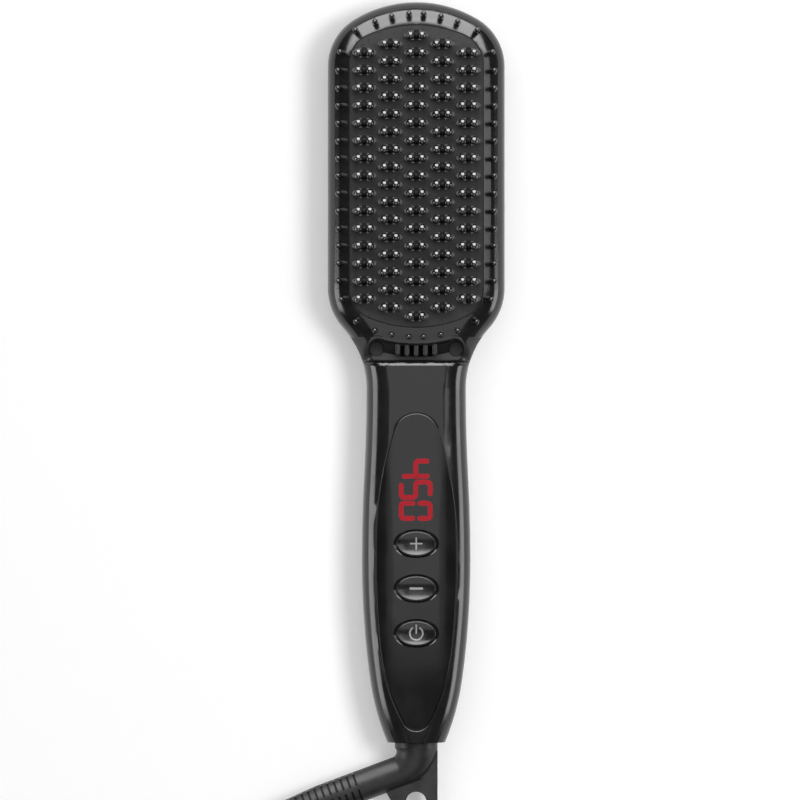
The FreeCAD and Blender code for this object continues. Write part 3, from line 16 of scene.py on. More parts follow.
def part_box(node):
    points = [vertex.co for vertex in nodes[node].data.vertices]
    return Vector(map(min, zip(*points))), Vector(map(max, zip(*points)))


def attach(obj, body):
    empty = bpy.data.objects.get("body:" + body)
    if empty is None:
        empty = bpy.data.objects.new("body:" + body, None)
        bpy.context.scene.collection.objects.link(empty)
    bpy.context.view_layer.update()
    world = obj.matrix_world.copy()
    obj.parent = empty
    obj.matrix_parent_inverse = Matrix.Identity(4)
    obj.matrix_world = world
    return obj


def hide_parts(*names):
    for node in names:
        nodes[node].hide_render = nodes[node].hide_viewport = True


MM = 0.001
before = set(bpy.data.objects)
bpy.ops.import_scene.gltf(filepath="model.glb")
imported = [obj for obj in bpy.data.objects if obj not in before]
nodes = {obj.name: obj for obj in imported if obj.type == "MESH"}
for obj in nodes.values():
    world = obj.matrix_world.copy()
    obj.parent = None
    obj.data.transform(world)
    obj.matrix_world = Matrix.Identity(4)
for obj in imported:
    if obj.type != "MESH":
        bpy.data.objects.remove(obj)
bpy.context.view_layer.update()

# ---------------------------------------------------------------- camera

VIEW_WIDTH = 296.0
VIEW_CENTRE = (-6.0, -10.3)
VIEW_LEVEL = 13.0
CAMERA_HEIGHT = 4000.0
SENSOR = 36.0
FAR_CLIP = 100000.0


def make_camera():
    """A long lens straight above the brush, with its head at the top of the picture."""
    data = bpy.data.cameras.new("camera")
    data.sensor_width = SENSOR
    data.lens = SENSOR * CAMERA_HEIGHT / VIEW_WIDTH
    data.clip_end = FAR_CLIP * MM
    camera = bpy.data.objects.new("camera", data)
    camera.location = Vector((*VIEW_CENTRE, VIEW_LEVEL + CAMERA_HEIGHT)) * MM
    bpy.context.scene.collection.objects.link(camera)
    bpy.context.scene.camera = camera


# ---------------------------------------------------------------- cord

CORD_DIAMETER = 6.0
BEVEL_STEPS = 5
CURVE_STEPS = 8
CURVE_ORDER = 3
BOOT_AXIS_HEIGHT = 13.0
ELBOW = Vector((0.0, -145.4, BOOT_AXIS_HEIGHT))
ARM_ANGLE = math.radians(200.5)
ARM_LENGTH = 62.0
ARM_DIRECTION = Vector((math.cos(ARM_ANGLE), math.sin(ARM_ANGLE), 0.0))
CORD_EXIT = ELBOW + ARM_DIRECTION * ARM_LENGTH
EXIT_RUN = 15.0
ON_FLOOR = CORD_DIAMETER / 2
PLUG_HEIGHT = 8.5
LEAD = [
    CORD_EXIT,
    CORD_EXIT + ARM_DIRECTION * EXIT_RUN,
    Vector((-83.7, -183.5, 7.5)),
    Vector((-89.9, -198.2, ON_FLOOR)),
    Vector((-91.2, -212.2, ON_FLOOR)),
]
TAIL = [
    Vector((-37.5, -267.5, ON_FLOOR)),
    Vector((-20.0, -263.0, PLUG_HEIGHT)),
    Vector((-7.0, -251.5, PLUG_HEIGHT)),
]
COIL_CENTRE = Vector((-52.0, -228.0, 0.0))
COIL_MIDDLE_RADIUS = 33.0
COIL_START_ANGLE = math.pi
COIL_LAST_ANGLE = math.radians(80)
POINTS_PER_TURN = 16
# the share of its round in which a turn moves over to its own slot
MOVE_SHARE = 0.25
# each turn's slot in the bundle, in diameters out from its middle column and up from the floor
SLOTS = [(1, 0), (0, 0), (-1, 0), (-1, 1), (-1, 2), (0, 2), (0, 1), (1, 2), (1, 1), (1, 0)]


def coil_points():
    """The turns of the put-away cord, each of which starts in the slot of the one before it."""
    points = []
    end_angle = math.tau * (len(SLOTS) - 2) + COIL_LAST_ANGLE
    steps = round(end_angle / math.tau * POINTS_PER_TURN)
    for i in range(steps + 1):
        angle = end_angle * i / steps
        turn, share = divmod(angle / math.tau, 1.0)
        move = min(share / MOVE_SHARE, 1.0)
        move = move * move * (3 - 2 * move)
        here, there = SLOTS[int(turn)], SLOTS[int(turn) + 1]
        across = here[0] + (there[0] - here[0]) * move
        up = here[1] + (there[1] - here[1]) * move
        radius = COIL_MIDDLE_RADIUS + across * CORD_DIAMETER
        heading = COIL_START_ANGLE + angle
        place = Vector((math.cos(heading) * radius, math.sin(heading) * radius, 0))
        place.z = ON_FLOOR + up * CORD_DIAMETER
        points.append(COIL_CENTRE + place)
    return points


def make_cord():
    """The mains cord, from the strain relief down to the floor, round its coil and to the plug."""
    curve = bpy.data.curves.new("mains_cord", "CURVE")
    curve.dimensions = "3D"
    curve.bevel_depth = CORD_DIAMETER / 2 * MM
    curve.bevel_resolution = BEVEL_STEPS
    curve.resolution_u = CURVE_STEPS
    curve.use_fill_caps = True
    points = LEAD + coil_points() + TAIL
    spline = curve.splines.new("NURBS")
    spline.points.add(len(points) - 1)
    for point, place in zip(spline.points, points):
        point.co = (*(place * MM), 1.0)
    spline.order_u = CURVE_ORDER
    spline.use_endpoint_u = True
    cord = bpy.data.objects.new("mains_cord", curve)
    bpy.context.scene.collection.objects.link(cord)
    curve.materials.append(cord_rubber())
    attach(cord, "cord_end")
    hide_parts("cord", "cord_coil", "cord_tail")


# ---------------------------------------------------------------- light and floor

BRUSH_MIDDLE = (0.0, 0.0, 0.0)
HEAD_MIDDLE = (0.0, 0.08, 0.0)
BEHIND_HANDLE = (0.0, -0.2, 0.0)
# name, place, what it faces, width, height, radiance
PLAIN_LAMPS = [
    ("key", (0.75, 0.1, 1.6), BRUSH_MIDDLE, 0.5, 0.5, 19.0),
    ("fill", (0.0, 0.2, 1.7), BRUSH_MIDDLE, 2.4, 2.4, 0.95),
]
MIRRORED_LAMPS = [
    ("ceiling_strip", (0.0, 0.42, 1.2), (0.0, 0.42, 0.0), 0.36, 1.1, 1.1),
    ("wall_head", (0.0, 0.88, 0.72), HEAD_MIDDLE, 1.6, 1.45, 6.4),
    ("wall_head_middle", (0.0, 0.9, 0.72), HEAD_MIDDLE, 1.3, 1.2, 2.4),
    ("wall_cord", (0.0, -0.75, 1.0), BRUSH_MIDDLE, 0.9, 0.9, 1.2),
    ("side_left", (-1.0, -0.2, 0.25), BEHIND_HANDLE, 0.5, 0.5, 5.0),
    ("side_right", (1.0, -0.2, 0.2), BEHIND_HANDLE, 0.5, 0.4, 5.0),
    ("high_right", (0.5, 0.2, 1.05), HEAD_MIDDLE, 0.4, 0.55, 2.4),
]
STUDIO_GREY = 0.1
FLOOR_REACH = 6.0
FLOOR_WHITE = 0.78
FLOOR_GLOW = 0.3


def soft_box(name, place, target, width, height, radiance, mirrored):
    """An evenly bright rectangular lamp, which gloss mirrors or which lights plain surfaces."""
    data = bpy.data.lights.new(name, "AREA")
    data.shape = "RECTANGLE"
    data.size = width
    data.size_y = height
    data.energy = radiance * math.pi * width * height
    lamp = bpy.data.objects.new(name, data)
    lamp.location = place
    lamp.rotation_mode = "QUATERNION"
    lamp.rotation_quaternion = (Vector(target) - Vector(place)).to_track_quat("-Z", "Y")
    lamp.visible_camera = False
    lamp.visible_glossy = mirrored
    lamp.visible_diffuse = not mirrored
    bpy.context.scene.collection.objects.link(lamp)


def make_lights():
    """A soft key from the right and a broad fill, and the boxes and strips that gloss mirrors."""
    for lamp in PLAIN_LAMPS:
        soft_box(*lamp, mirrored=False)
    for lamp in MIRRORED_LAMPS:
        soft_box(*lamp, mirrored=True)


def make_world():
    """The dim studio that gloss mirrors between the lamps."""
    world = bpy.data.worlds.new("studio")
    bpy.context.scene.world = world
    world.use_nodes = True
    background = world.node_tree.nodes["Background"]
    background.inputs["Color"].default_value = (STUDIO_GREY, STUDIO_GREY, STUDIO_GREY, 1)


def make_floor():
    """A plain white sheet. It glows a little to the camera and in mirrors, and keeps the shadow."""
    mesh = bpy.data.meshes.new("floor")
    reach = FLOOR_REACH
    corners = [(-reach, -reach, 0), (reach, -reach, 0), (reach, reach, 0), (-reach, reach, 0)]
    mesh.from_pydata(corners, [], [(0, 1, 2, 3)])
    floor = bpy.data.objects.new("floor", mesh)
    bpy.context.scene.collection.objects.link(floor)
    white = (FLOOR_WHITE, FLOOR_WHITE, FLOOR_WHITE)
    look = Look("floor_paper", white, roughness=0.9, Emission_Color=(1, 1, 1, 1))
    look.bump(look.noise(scale=900.0), depth=0.02)
    rays = look.add("ShaderNodeLightPath").outputs
    seen = look.math("MAXIMUM", rays["Is Camera Ray"], rays["Is Glossy Ray"])
    seen = look.math("MAXIMUM", seen, rays["Is Transmission Ray"])
    look.feed(look.shader.inputs["Emission Strength"], look.math("MULTIPLY", seen, FLOOR_GLOW))
    mesh.materials.append(look.material)


# ---------------------------------------------------------------- materials

# where most of a noise's values lie
NOISE_LOW = 0.3
NOISE_HIGH = 0.7
# a Mix node's sockets for numbers and colours share their names, so these go by number
MIX_FACTOR = 0
MIX_COLOURS = slice(6, 8)
MIX_RESULT = 2
EVEN = (1, 1, 1)


class Look:
    """A Principled material, with helpers for the nodes that vary it over the surface.

    Depths and places are in millimetres. A noise's scale is in blotches to the metre.
    """

    def __init__(self, name, colour, roughness, **sockets):
        self.material = bpy.data.materials.new(name)
        self.material.use_nodes = True
        self.tree = self.material.node_tree
        self.shader = self.tree.nodes["Principled BSDF"]
        self.shader.inputs["Base Color"].default_value = (*colour, 1)
        self.shader.inputs["Roughness"].default_value = roughness
        for socket, value in sockets.items():
            self.shader.inputs[socket.replace("_", " ")].default_value = value
        self.place = self.add("ShaderNodeTexCoord").outputs["Object"]
        self.normal = None

    def add(self, kind, **settings):
        """A new node of a kind, with its settings."""
        node = self.tree.nodes.new(kind)
        for setting, value in settings.items():
            setattr(node, setting, value)
        return node

    def feed(self, socket, source):
        """Links an output to an input, or sets the input's own value."""
        if isinstance(source, bpy.types.NodeSocket):
            self.tree.links.new(source, socket)
        else:
            socket.default_value = source

    def noise(self, scale, detail=2.0, stretch=EVEN):
        """Blotches. A stretch below one draws them out into streaks along its axis."""
        mapping = self.add("ShaderNodeMapping")
        self.feed(mapping.inputs["Vector"], self.place)
        mapping.inputs["Scale"].default_value = stretch
        node = self.add("ShaderNodeTexNoise")
        self.feed(node.inputs["Vector"], mapping.outputs["Vector"])
        node.inputs["Scale"].default_value = scale
        node.inputs["Detail"].default_value = detail
        return node.outputs["Fac"]

    def across(self, letter):
        """The place along an axis, in millimetres."""
        split = self.add("ShaderNodeSeparateXYZ")
        self.feed(split.inputs["Vector"], self.place)
        return self.math("DIVIDE", split.outputs[letter], MM)

    def math(self, operation, first, second=0.0):
        """One step of arithmetic on numbers or outputs."""
        node = self.add("ShaderNodeMath", operation=operation)
        self.feed(node.inputs[0], first)
        self.feed(node.inputs[1], second)
        return node.outputs[0]

    def remap(self, value, start, end, low=0.0, high=1.0):
        """Eases from one value to another between two limits."""
        node = self.add("ShaderNodeMapRange", interpolation_type="SMOOTHSTEP")
        for socket, source in zip(node.inputs, (value, start, end, low, high)):
            self.feed(socket, source)
        return node.outputs["Result"]

    def fade(self, value, start, end):
        """One before the start, and nothing after the end."""
        return self.remap(value, start, end, low=1.0, high=0.0)

    def spread(self, noise, low, high):
        """Stretches a noise over two limits."""
        return self.remap(noise, NOISE_LOW, NOISE_HIGH, low, high)

    def mix(self, factor, first, second):
        """A colour between two, each a colour or a socket."""
        node = self.add("ShaderNodeMix", data_type="RGBA")
        self.feed(node.inputs[MIX_FACTOR], factor)
        for socket, source in zip(node.inputs[MIX_COLOURS], (first, second)):
            self.feed(socket, source if isinstance(source, bpy.types.NodeSocket) else (*source, 1))
        return node.outputs[MIX_RESULT]

    def colour(self, source):
        """Feeds the base colour."""
        self.feed(self.shader.inputs["Base Color"], source)

    def roughness(self, source):
        """Feeds the roughness."""
        self.feed(self.shader.inputs["Roughness"], source)

    def bump(self, height, depth):
        """Adds a height, in units of the depth, to the surface and its coat."""
        node = self.add("ShaderNodeBump")
        node.inputs["Strength"].default_value = 1.0
        node.inputs["Distance"].default_value = depth * MM
        self.feed(node.inputs["Height"], height)
        if self.normal:
            self.feed(node.inputs["Normal"], self.normal)
        self.normal = node.outputs["Normal"]
        for socket in ("Normal", "Coat Normal"):
            self.feed(self.shader.inputs[socket], self.normal)

    def speckle(self, dark, light, scale, low, high):
        """Blotches that shift the colour, and the roughness between two limits."""
        blotches = self.noise(scale)
        self.colour(self.mix(blotches, dark, light))
        self.roughness(self.spread(blotches, low, high))


SHELL_DARK = (0.006, 0.006, 0.0065)
SHELL_LIGHT = (0.011, 0.011, 0.0115)
# the neck's hollow: the edges that it fades over along the brush and under its rim
HOLLOW_START = (3.8, 4.6)
HOLLOW_END = (12.4, 13.2)
HOLLOW_RIM = (23.2, 24.2)
HOLLOW_ROUGHER = 0.4


def gloss_shell():
    """Polished moulded plastic with a faint ripple, left matte down in the neck's hollow."""
    look = Look("gloss_shell", SHELL_DARK, roughness=0.15)
    blotches = look.noise(scale=140.0)
    look.colour(look.mix(blotches, SHELL_DARK, SHELL_LIGHT))
    along = look.across("Y")
    hollow = look.math("MULTIPLY", look.remap(along, *HOLLOW_START), look.fade(along, *HOLLOW_END))
    hollow = look.math("MULTIPLY", hollow, look.fade(look.across("Z"), *HOLLOW_RIM))
    polish = look.spread(blotches, low=0.13, high=0.18)
    look.roughness(look.math("ADD", polish, look.math("MULTIPLY", hollow, HOLLOW_ROUGHER)))
    look.bump(look.noise(scale=260.0), depth=0.006)
    look.bump(look.noise(scale=3000.0), depth=0.0006)
    return look.material


PLATE_DARK = (0.015, 0.015, 0.016)
PLATE_GREY = (0.038, 0.038, 0.039)
# the plate's colour next to the frame, which is painted shade
PLATE_EDGE_SHADE = (0.012, 0.012, 0.012)
# how far out from the middle the plate darkens towards its edge, as painted shade from the head's
# frame
PLATE_SHADE_SPAN = (21.2, 22.4)
SPARKLE = (0.35, 0.75)


def ceramic_plate():
    """Satin ceramic coating with a fine sparkle, and painted shade where it meets the head's frame.
    """
    look = Look("ceramic_plate", PLATE_GREY, roughness=0.3, Specular_IOR_Level=0.3)
    grain = look.noise(scale=5200.0, detail=3.0)
    face = look.mix(look.remap(grain, *SPARKLE), PLATE_DARK, PLATE_GREY)
    # painted shade: the plate darkens towards the frame
    edge_shade = look.remap(look.math("ABSOLUTE", look.across("X")), *PLATE_SHADE_SPAN)
    look.colour(look.mix(edge_shade, face, PLATE_EDGE_SHADE))
    look.roughness(look.spread(look.noise(scale=700.0), low=0.27, high=0.37))
    look.bump(grain, depth=0.01)
    return look.material


CAP_DARK = (0.007, 0.007, 0.007)
CAP_LIGHT = (0.014, 0.014, 0.014)
COLUMN_PITCH = 9.6
# how far out from a column's middle line the dull nub ends
DULL_NUB = (0.8, 1.2)
DULL_ROUGHER = 0.4


def cap_nylon():
    """Heat-resistant nylon, polished on the outer nubs and dull on the middle one.

    The middle nub is near black with no highlight, which a metal of that colour gives.
    """
    look = Look("cap_nylon", CAP_DARK, roughness=0.2, Specular_IOR_Level=1.0)
    blotches = look.noise(scale=420.0)
    look.colour(look.mix(blotches, CAP_DARK, CAP_LIGHT))
    out = look.math("PINGPONG", look.across("X"), COLUMN_PITCH / 2)
    dull = look.fade(out, *DULL_NUB)
    polish = look.spread(blotches, low=0.13, high=0.2)
    look.roughness(look.math("ADD", polish, look.math("MULTIPLY", dull, DULL_ROUGHER)))
    look.feed(look.shader.inputs["Metallic"], dull)
    look.bump(look.noise(scale=2600.0), depth=0.0015)
    return look.material


PANEL_DARK = (0.0035, 0.0035, 0.004)
PANEL_LIGHT = (0.006, 0.006, 0.007)


def smoked_inlay():
    """Smoked clear plastic over black, the smoothest surface of the brush."""
    look = Look("smoked_inlay", PANEL_DARK, roughness=0.1)
    look.speckle(PANEL_DARK, PANEL_LIGHT, scale=90.0, low=0.08, high=0.12)
    look.bump(look.noise(scale=180.0), depth=0.004)
    return look.material


KEY_DARK = (0.005, 0.005, 0.0055)
KEY_LIGHT = (0.009, 0.009, 0.01)


def key_gloss():
    """Polished keys, slightly worn by fingers."""
    look = Look("key_gloss", KEY_DARK, roughness=0.16)
    look.speckle(KEY_DARK, KEY_LIGHT, scale=260.0, low=0.15, high=0.22)
    look.bump(look.noise(scale=1500.0), depth=0.001)
    return look.material


PRINT_GREY = (0.33, 0.33, 0.34)
PRINT_WORN = (0.25, 0.25, 0.26)


def key_print():
    """Light grey ink with a slightly uneven body."""
    look = Look("key_print", PRINT_GREY, roughness=0.5)
    look.speckle(PRINT_WORN, PRINT_GREY, scale=3500.0, low=0.42, high=0.58)
    return look.material


READOUT_RED = (0.34, 0.005, 0.014)
READOUT_DEEP = (0.27, 0.004, 0.011)
READOUT_GLOW = {"Emission_Strength": 0.3, "Specular_IOR_Level": 0.1}


def readout_red():
    """Lit segments of the readout, slightly uneven."""
    look = Look("readout_red", READOUT_RED, roughness=0.5, **READOUT_GLOW)
    glow = look.mix(look.noise(scale=600.0), READOUT_DEEP, READOUT_RED)
    look.colour(glow)
    look.feed(look.shader.inputs["Emission Color"], glow)
    return look.material


RUBBER_DARK = (0.013, 0.013, 0.014)
RUBBER_LIGHT = (0.024, 0.024, 0.025)
# near black: painted shade down in the strain relief's slots
SLOT_SHADE_DARK = (0.0015, 0.0015, 0.0015)
SLOT_SHADE_LIGHT = (0.0025, 0.0025, 0.0025)


def boot_rubber():
    """Soft moulded plastic with a fine skin."""
    look = Look("boot_rubber", RUBBER_DARK, roughness=0.4, Specular_IOR_Level=0.3)
    look.speckle(RUBBER_DARK, RUBBER_LIGHT, scale=300.0, low=0.36, high=0.46)
    look.bump(look.noise(scale=2400.0), depth=0.006)
    return look.material


def plug_rubber():
    """The plug's moulding, with a coarser skin than the boot's."""
    look = Look("plug_rubber", RUBBER_DARK, roughness=0.45)
    look.speckle(RUBBER_DARK, RUBBER_LIGHT, scale=500.0, low=0.4, high=0.52)
    look.bump(look.noise(scale=3000.0), depth=0.01)
    return look.material


def slot_shade_rubber():
    """Rubber made near black down in the strain relief's slots, as painted shade."""
    look = Look("slot_shade_rubber", SLOT_SHADE_DARK, roughness=0.7, Specular_IOR_Level=0.2)
    look.speckle(SLOT_SHADE_DARK, SLOT_SHADE_LIGHT, scale=600.0, low=0.64, high=0.76)
    return look.material


def cord_rubber():
    """A matte jacket with a fine skin."""
    look = Look("cord_rubber", RUBBER_DARK, roughness=0.5)
    look.speckle(RUBBER_DARK, RUBBER_LIGHT, scale=800.0, low=0.44, high=0.6)
    look.bump(look.noise(scale=4000.0), depth=0.008)
    return look.material


# how far the roughness of a metal or a moulding goes below and above its middle value
SMOOTHER = 0.06
ROUGHER = 0.06
METAL_ROUGHER = 0.08


def metal(name, dark, light, rough, stretch):
    """Bare or plated metal with drawn or brushed streaks."""
    look = Look(name, light, rough, Metallic=1.0)
    streaks = look.noise(scale=1500.0, detail=3.0, stretch=stretch)
    look.colour(look.mix(streaks, dark, light))
    look.roughness(look.spread(streaks, low=rough - SMOOTHER, high=rough + METAL_ROUGHER))
    look.bump(streaks, depth=0.003)
    return look.material


def moulded(name, dark, light, rough):
    """Moulded, sintered or coated stuff, with blotches and a fine skin."""
    look = Look(name, light, rough)
    look.speckle(dark, light, scale=700.0, low=rough - SMOOTHER, high=rough + ROUGHER)
    look.bump(look.noise(scale=3500.0), depth=0.006)
    return look.material


BOARD_GREEN = (0.01, 0.09, 0.038)
BOARD_DEEP = (0.007, 0.07, 0.03)
TRACK_GREEN = (0.03, 0.17, 0.07)
TRACKS_IN_METRE = 260.0


def circuit_board():
    """Green mask with paler tracks under it."""
    look = Look("circuit_board", BOARD_GREEN, roughness=0.3)
    tracks = look.add("ShaderNodeTexBrick")
    look.feed(tracks.inputs["Vector"], look.place)
    tracks.inputs["Scale"].default_value = TRACKS_IN_METRE
    tracks.inputs["Color1"].default_value = (*BOARD_GREEN, 1)
    tracks.inputs["Color2"].default_value = (*BOARD_DEEP, 1)
    tracks.inputs["Mortar"].default_value = (*TRACK_GREEN, 1)
    look.colour(tracks.outputs["Color"])
    look.roughness(look.spread(look.noise(scale=900.0), low=0.25, high=0.38))
    look.bump(tracks.outputs["Fac"], depth=0.02)
    return look.material


PLUNGERS = "plus_plunger minus_plunger power_plunger"
# name, darkest, lightest, roughness, stretch of the streaks, nodes
METALS = [
    ("blackened_steel", (0.02, 0.02, 0.02), (0.05, 0.05, 0.05), 0.35, EVEN, "case_screws"),
    ("zinc_steel", (0.42, 0.42, 0.44), (0.6, 0.6, 0.62), 0.3, EVEN, "clamp_screws board_screws"),
    ("spring_steel", (0.38, 0.38, 0.4), (0.55, 0.55, 0.57), 0.28, (1, 0.1, 1), "heater_clamp"),
    ("needle_steel", (0.5, 0.5, 0.5), (0.65, 0.65, 0.65), 0.2, EVEN, "ion_emitter retaining_clip"),
    ("shield_sheet", (0.6, 0.6, 0.61), (0.78, 0.78, 0.79), 0.32, (1, 0.05, 1), "heat_shield"),
    ("plug_brass", (0.6, 0.47, 0.2), (0.78, 0.65, 0.36), 0.25, (0.1, 1, 1), "plug_blades"),
]
# name, darkest, lightest, roughness, nodes
MOULDINGS = [
    ("alumina", (0.7, 0.68, 0.63), (0.82, 0.8, 0.76), 0.55, "ceramic_heaters"),
    ("mica_sheet", (0.6, 0.52, 0.34), (0.76, 0.7, 0.54), 0.3, "insulation_sheet"),
    ("sensor_resin", (0.03, 0.03, 0.03), (0.07, 0.07, 0.08), 0.4, "thermistor thermal_fuse"),
    ("readout_case", (0.02, 0.008, 0.008), (0.04, 0.012, 0.012), 0.35, "display_module"),
    ("switch_case", (0.03, 0.03, 0.03), (0.06, 0.06, 0.06), 0.45, "tact_switches"),
    ("switch_stem", (0.5, 0.5, 0.48), (0.62, 0.61, 0.58), 0.42, PLUNGERS),
    ("component_resin", (0.03, 0.03, 0.035), (0.08, 0.08, 0.09), 0.4, "power_components"),
    ("potting", (0.02, 0.02, 0.025), (0.05, 0.05, 0.06), 0.3, "ion_generator"),
    ("silicone_red", (0.36, 0.03, 0.02), (0.5, 0.05, 0.04), 0.5, "heater_leads mains_leads"),
    ("acetal", (0.66, 0.65, 0.6), (0.78, 0.77, 0.73), 0.38, "swivel_sleeve"),
]


def dress(material, names):
    """Gives the named nodes one material."""
    for name in names.split():
        mesh = nodes[name].data
        mesh.materials.clear()
        mesh.materials.append(material)


def dress_nodes():
    """Gives every node its material, apart from those that mains_cord replaces."""
    dress(gloss_shell(), "front_shell back_shell")
    dress(ceramic_plate(), "heating_plate")
    dress(cap_nylon(), "tooth_caps")
    dress(smoked_inlay(), "control_panel")
    dress(key_gloss(), "plus_button minus_button power_button")
    dress(boot_rubber(), "cord_boot")
    dress(plug_rubber(), "plug_body")
    dress(circuit_board(), "control_board power_board")
    for *finish, names in METALS:
        dress(metal(*finish), names)
    for *finish, names in MOULDINGS:
        dress(moulded(*finish), names)


# ---------------------------------------------------------------- strain relief's core

# (distance from the elbow, radius)
CORE_STATIONS = [(17.0, 5.3), (38.0, 5.3), (61.5, 3.65)]
CORE_SIDES = 64
UP = Vector((0, 0, 1))


def add_piece(name, mesh, material, body):
    """Turns a built mesh into a closed piece that rides a body."""
    bmesh.ops.recalc_face_normals(mesh, faces=mesh.faces[:])
    data = bpy.data.meshes.new(name)
    mesh.to_mesh(data)
    mesh.free()
    data.materials.append(material)
    piece = bpy.data.objects.new(name, data)
    bpy.context.scene.collection.objects.link(piece)
    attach(piece, body)


def make_relief_core():
    """A core inside the strain relief, which shows at the bottom of its slots. Its near-black
    colour is painted shade.
    """
    mesh = bmesh.new()
    across = UP.cross(ARM_DIRECTION)
    hoops = []
    for run, radius in CORE_STATIONS:
        centre = ELBOW + ARM_DIRECTION * run
        hoop = []
        for i in range(CORE_SIDES):
            turn = math.tau * i / CORE_SIDES
            spoke = across * math.cos(turn) + UP * math.sin(turn)
            hoop.append(mesh.verts.new((centre + spoke * radius) * MM))
        hoops.append(hoop)
    for near, far in zip(hoops, hoops[1:]):
        for i in range(CORE_SIDES):
            j = (i + 1) % CORE_SIDES
            mesh.faces.new((near[i], near[j], far[j], far[i]))
    mesh.faces.new(hoops[0])
    mesh.faces.new(hoops[-1])
    add_piece("relief_core", mesh, slot_shade_rubber(), "cord_end")


# ---------------------------------------------------------------- readout and key signs

INK_SINK = 0.02
INK_LIFT = 0.03
ABOVE_ALL = 1000.0
STROKE_STEP = 0.35
ROUND_STEPS = 8
READOUT = "450"
READOUT_CENTRE = (-0.2, -43.4)
DIGIT_PITCH = 7.77
DIGIT_WIDTH = 5.6
DIGIT_HEIGHT = 10.7
DIGIT_STROKE = 1.85
DIGIT_CORNER = 1.3
# the lit strokes of each digit, in a cell one wide and two high
CELL_MIDDLE = (0.5, 1)
GLYPHS = {
    "4": [[(0, 1.78), (0, 1), (1, 1)], [(1, 1.78), (1, 0.22)]],
    "5": [[(0.75, 2), (0, 2), (0, 1), (1, 1), (1, 0), (0.22, 0)]],
    "0": [[(0, 1.28), (0, 2), (1, 2), (1, 1.28)], [(0, 0.8), (0, 0), (1, 0), (1, 0.8)]],
}
SIGN_STROKE = 0.55
PLUS_ARM = 2.1
MINUS_STROKE = 0.85
RING_RADIUS = 2.4
RING_TOP = math.pi / 2
RING_OPENING = math.radians(35)
STEM_TOP = 3.1


def line(start, end):
    """Points from one place to another, close enough together to follow a curved face."""
    start, end = Vector((*start, 0)), Vector((*end, 0))
    steps = max(1, round((end - start).length / STROKE_STEP))
    return [start.lerp(end, i / steps) for i in range(steps + 1)]


def ring(centre, radius, first, last):
    """Points of an arc round a centre, from one angle to another."""
    x, y = centre
    steps = round(abs(last - first) * radius / STROKE_STEP)
    turns = [first + (last - first) * i / steps for i in range(steps + 1)]
    return [Vector((x + radius * math.cos(t), y + radius * math.sin(t), 0)) for t in turns]


def rounded(corners, radius):
    """A path through corners, each cut by a curve that starts and ends the radius away from it."""
    places = [Vector((*corner, 0)) for corner in corners]
    path = [places[0]]
    for before, corner, after in zip(places, places[1:], places[2:]):
        start = corner + (before - corner).normalized() * radius
        end = corner + (after - corner).normalized() * radius
        path += line(path[-1].xy, start.xy)[1:]
        for i in range(1, ROUND_STEPS + 1):
            share = i / ROUND_STEPS
            path.append(start.lerp(corner, share).lerp(corner.lerp(end, share), share))
    return path + line(path[-1].xy, places[-1].xy)[1:]


def add_round_end(mesh, centre, first, last):
    """A half disc, anticlockwise from one corner of a stroke's end to the other."""
    half = (first.co - last.co) / 2
    side = Vector((-half.y, half.x, 0))
    bow = [first]
    for step in range(1, ROUND_STEPS):
        turn = math.pi * step / ROUND_STEPS
        bow.append(mesh.verts.new(centre + half * math.cos(turn) + side * math.sin(turn)))
    mesh.faces.new(bow + [last])


def add_stroke(mesh, path, width, round_start=True):
    """A flat band along a path, round at its end, and at its start unless another begins there."""
    rims = []
    for i, point in enumerate(path):
        ahead = (path[min(i + 1, len(path) - 1)] - path[max(i - 1, 0)]).normalized()
        side = Vector((-ahead.y, ahead.x, 0)) * width / 2
        rims.append((mesh.verts.new(point + side), mesh.verts.new(point - side)))
    for (left, right), (next_left, next_right) in zip(rims, rims[1:]):
        mesh.faces.new((left, right, next_right, next_left))
    if round_start:
        add_round_end(mesh, path[0], rims[0][0], rims[0][1])
    add_round_end(mesh, path[-1], rims[-1][1], rims[-1][0])


def print_on(name, carrier, body, material, strokes):
    """A thin closed layer of strokes that follows the top of what carries it."""
    top = nodes[carrier].data
    faces = [face.vertices for face in top.polygons]
    tree = BVHTree.FromPolygons([vertex.co for vertex in top.vertices], faces)
    mesh = bmesh.new()
    for stroke in strokes:
        add_stroke(mesh, *stroke)
    for vertex in mesh.verts:
        above = Vector((vertex.co.x, vertex.co.y, ABOVE_ALL)) * MM
        vertex.co = tree.ray_cast(above, -UP)[0] - UP * INK_SINK * MM
    raised = bmesh.ops.extrude_face_region(mesh, geom=mesh.faces[:], use_keep_orig=True)["geom"]
    lifted = [item for item in raised if isinstance(item, bmesh.types.BMVert)]
    bmesh.ops.translate(mesh, verts=lifted, vec=UP * (INK_SINK + INK_LIFT) * MM)
    add_piece(name, mesh, material, body)


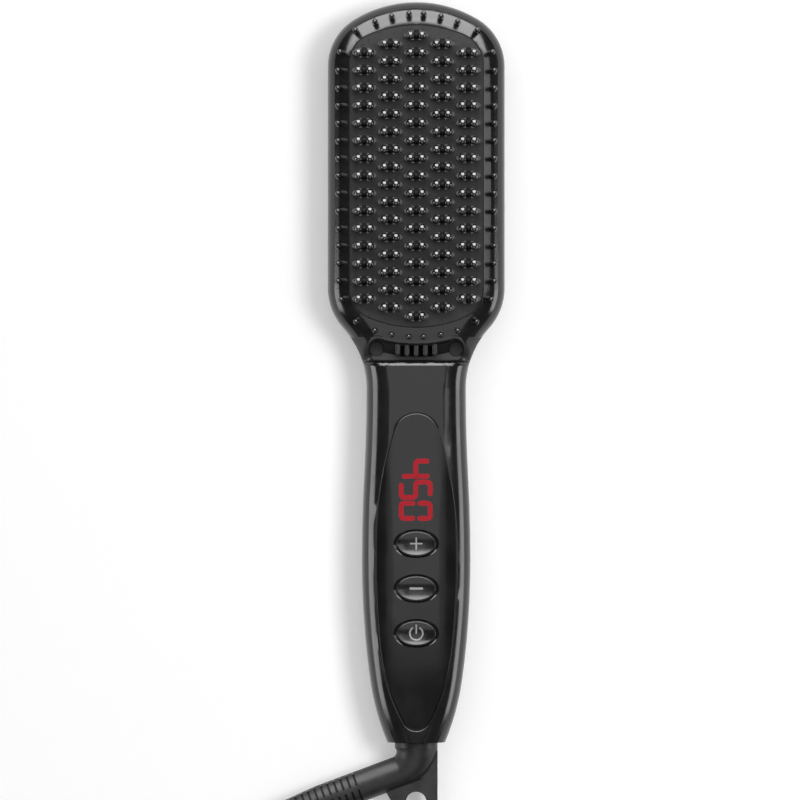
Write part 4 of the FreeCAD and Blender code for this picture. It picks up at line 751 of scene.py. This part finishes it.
def digit_strokes(digit, middle_y):
    """A digit's lit strokes. Its top points to +X, and it reads towards -Y."""
    strokes = []
    for glyph in GLYPHS[digit]:
        corners = []
        for right, up in glyph:
            x = READOUT_CENTRE[0] + (up - CELL_MIDDLE[1]) * DIGIT_HEIGHT / 2
            corners.append((x, middle_y - (right - CELL_MIDDLE[0]) * DIGIT_WIDTH))
        strokes.append((rounded(corners, DIGIT_CORNER), DIGIT_STROKE))
    return strokes


def make_readout():
    """The lit number on the inlay."""
    strokes = []
    for i, digit in enumerate(READOUT):
        from_middle = i - (len(READOUT) - 1) / 2
        strokes += digit_strokes(digit, READOUT_CENTRE[1] - from_middle * DIGIT_PITCH)
    print_on("readout_digits", "control_panel", "housing", readout_red(), strokes)


def key_centre(name):
    """The middle of a key, seen from above, in millimetres."""
    low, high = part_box(name)
    return (low[0] + high[0]) / 2 / MM, (low[1] + high[1]) / 2 / MM


def make_key_signs():
    """Plus, minus and power signs printed in the keys' hollows."""
    ink = key_print()
    x, y = key_centre("plus_button")
    strokes = [(line((x - PLUS_ARM, y), (x + PLUS_ARM, y)), SIGN_STROKE)]
    for side in (-1, 1):
        half = line((x, y + side * SIGN_STROKE / 2), (x, y + side * PLUS_ARM))
        strokes.append((half, SIGN_STROKE, False))
    print_on("plus_sign", "plus_button", "plus_key", ink, strokes)
    x, y = key_centre("minus_button")
    bar = line((x - PLUS_ARM, y), (x + PLUS_ARM, y))
    print_on("minus_sign", "minus_button", "minus_key", ink, [(bar, MINUS_STROKE)])
    x, y = key_centre("power_button")
    start, end = RING_TOP + RING_OPENING, RING_TOP + math.tau - RING_OPENING
    bow = ring((x, y), RING_RADIUS, start, end)
    strokes = [(bow, SIGN_STROKE), (line((x, y), (x, y + STEM_TOP)), SIGN_STROKE)]
    print_on("power_sign", "power_button", "power_key", ink, strokes)


make_camera()
make_cord()
make_lights()
make_world()
make_floor()
dress_nodes()
make_relief_core()
make_readout()
make_key_signs()
bpy.context.scene.view_settings.view_transform = "Standard"
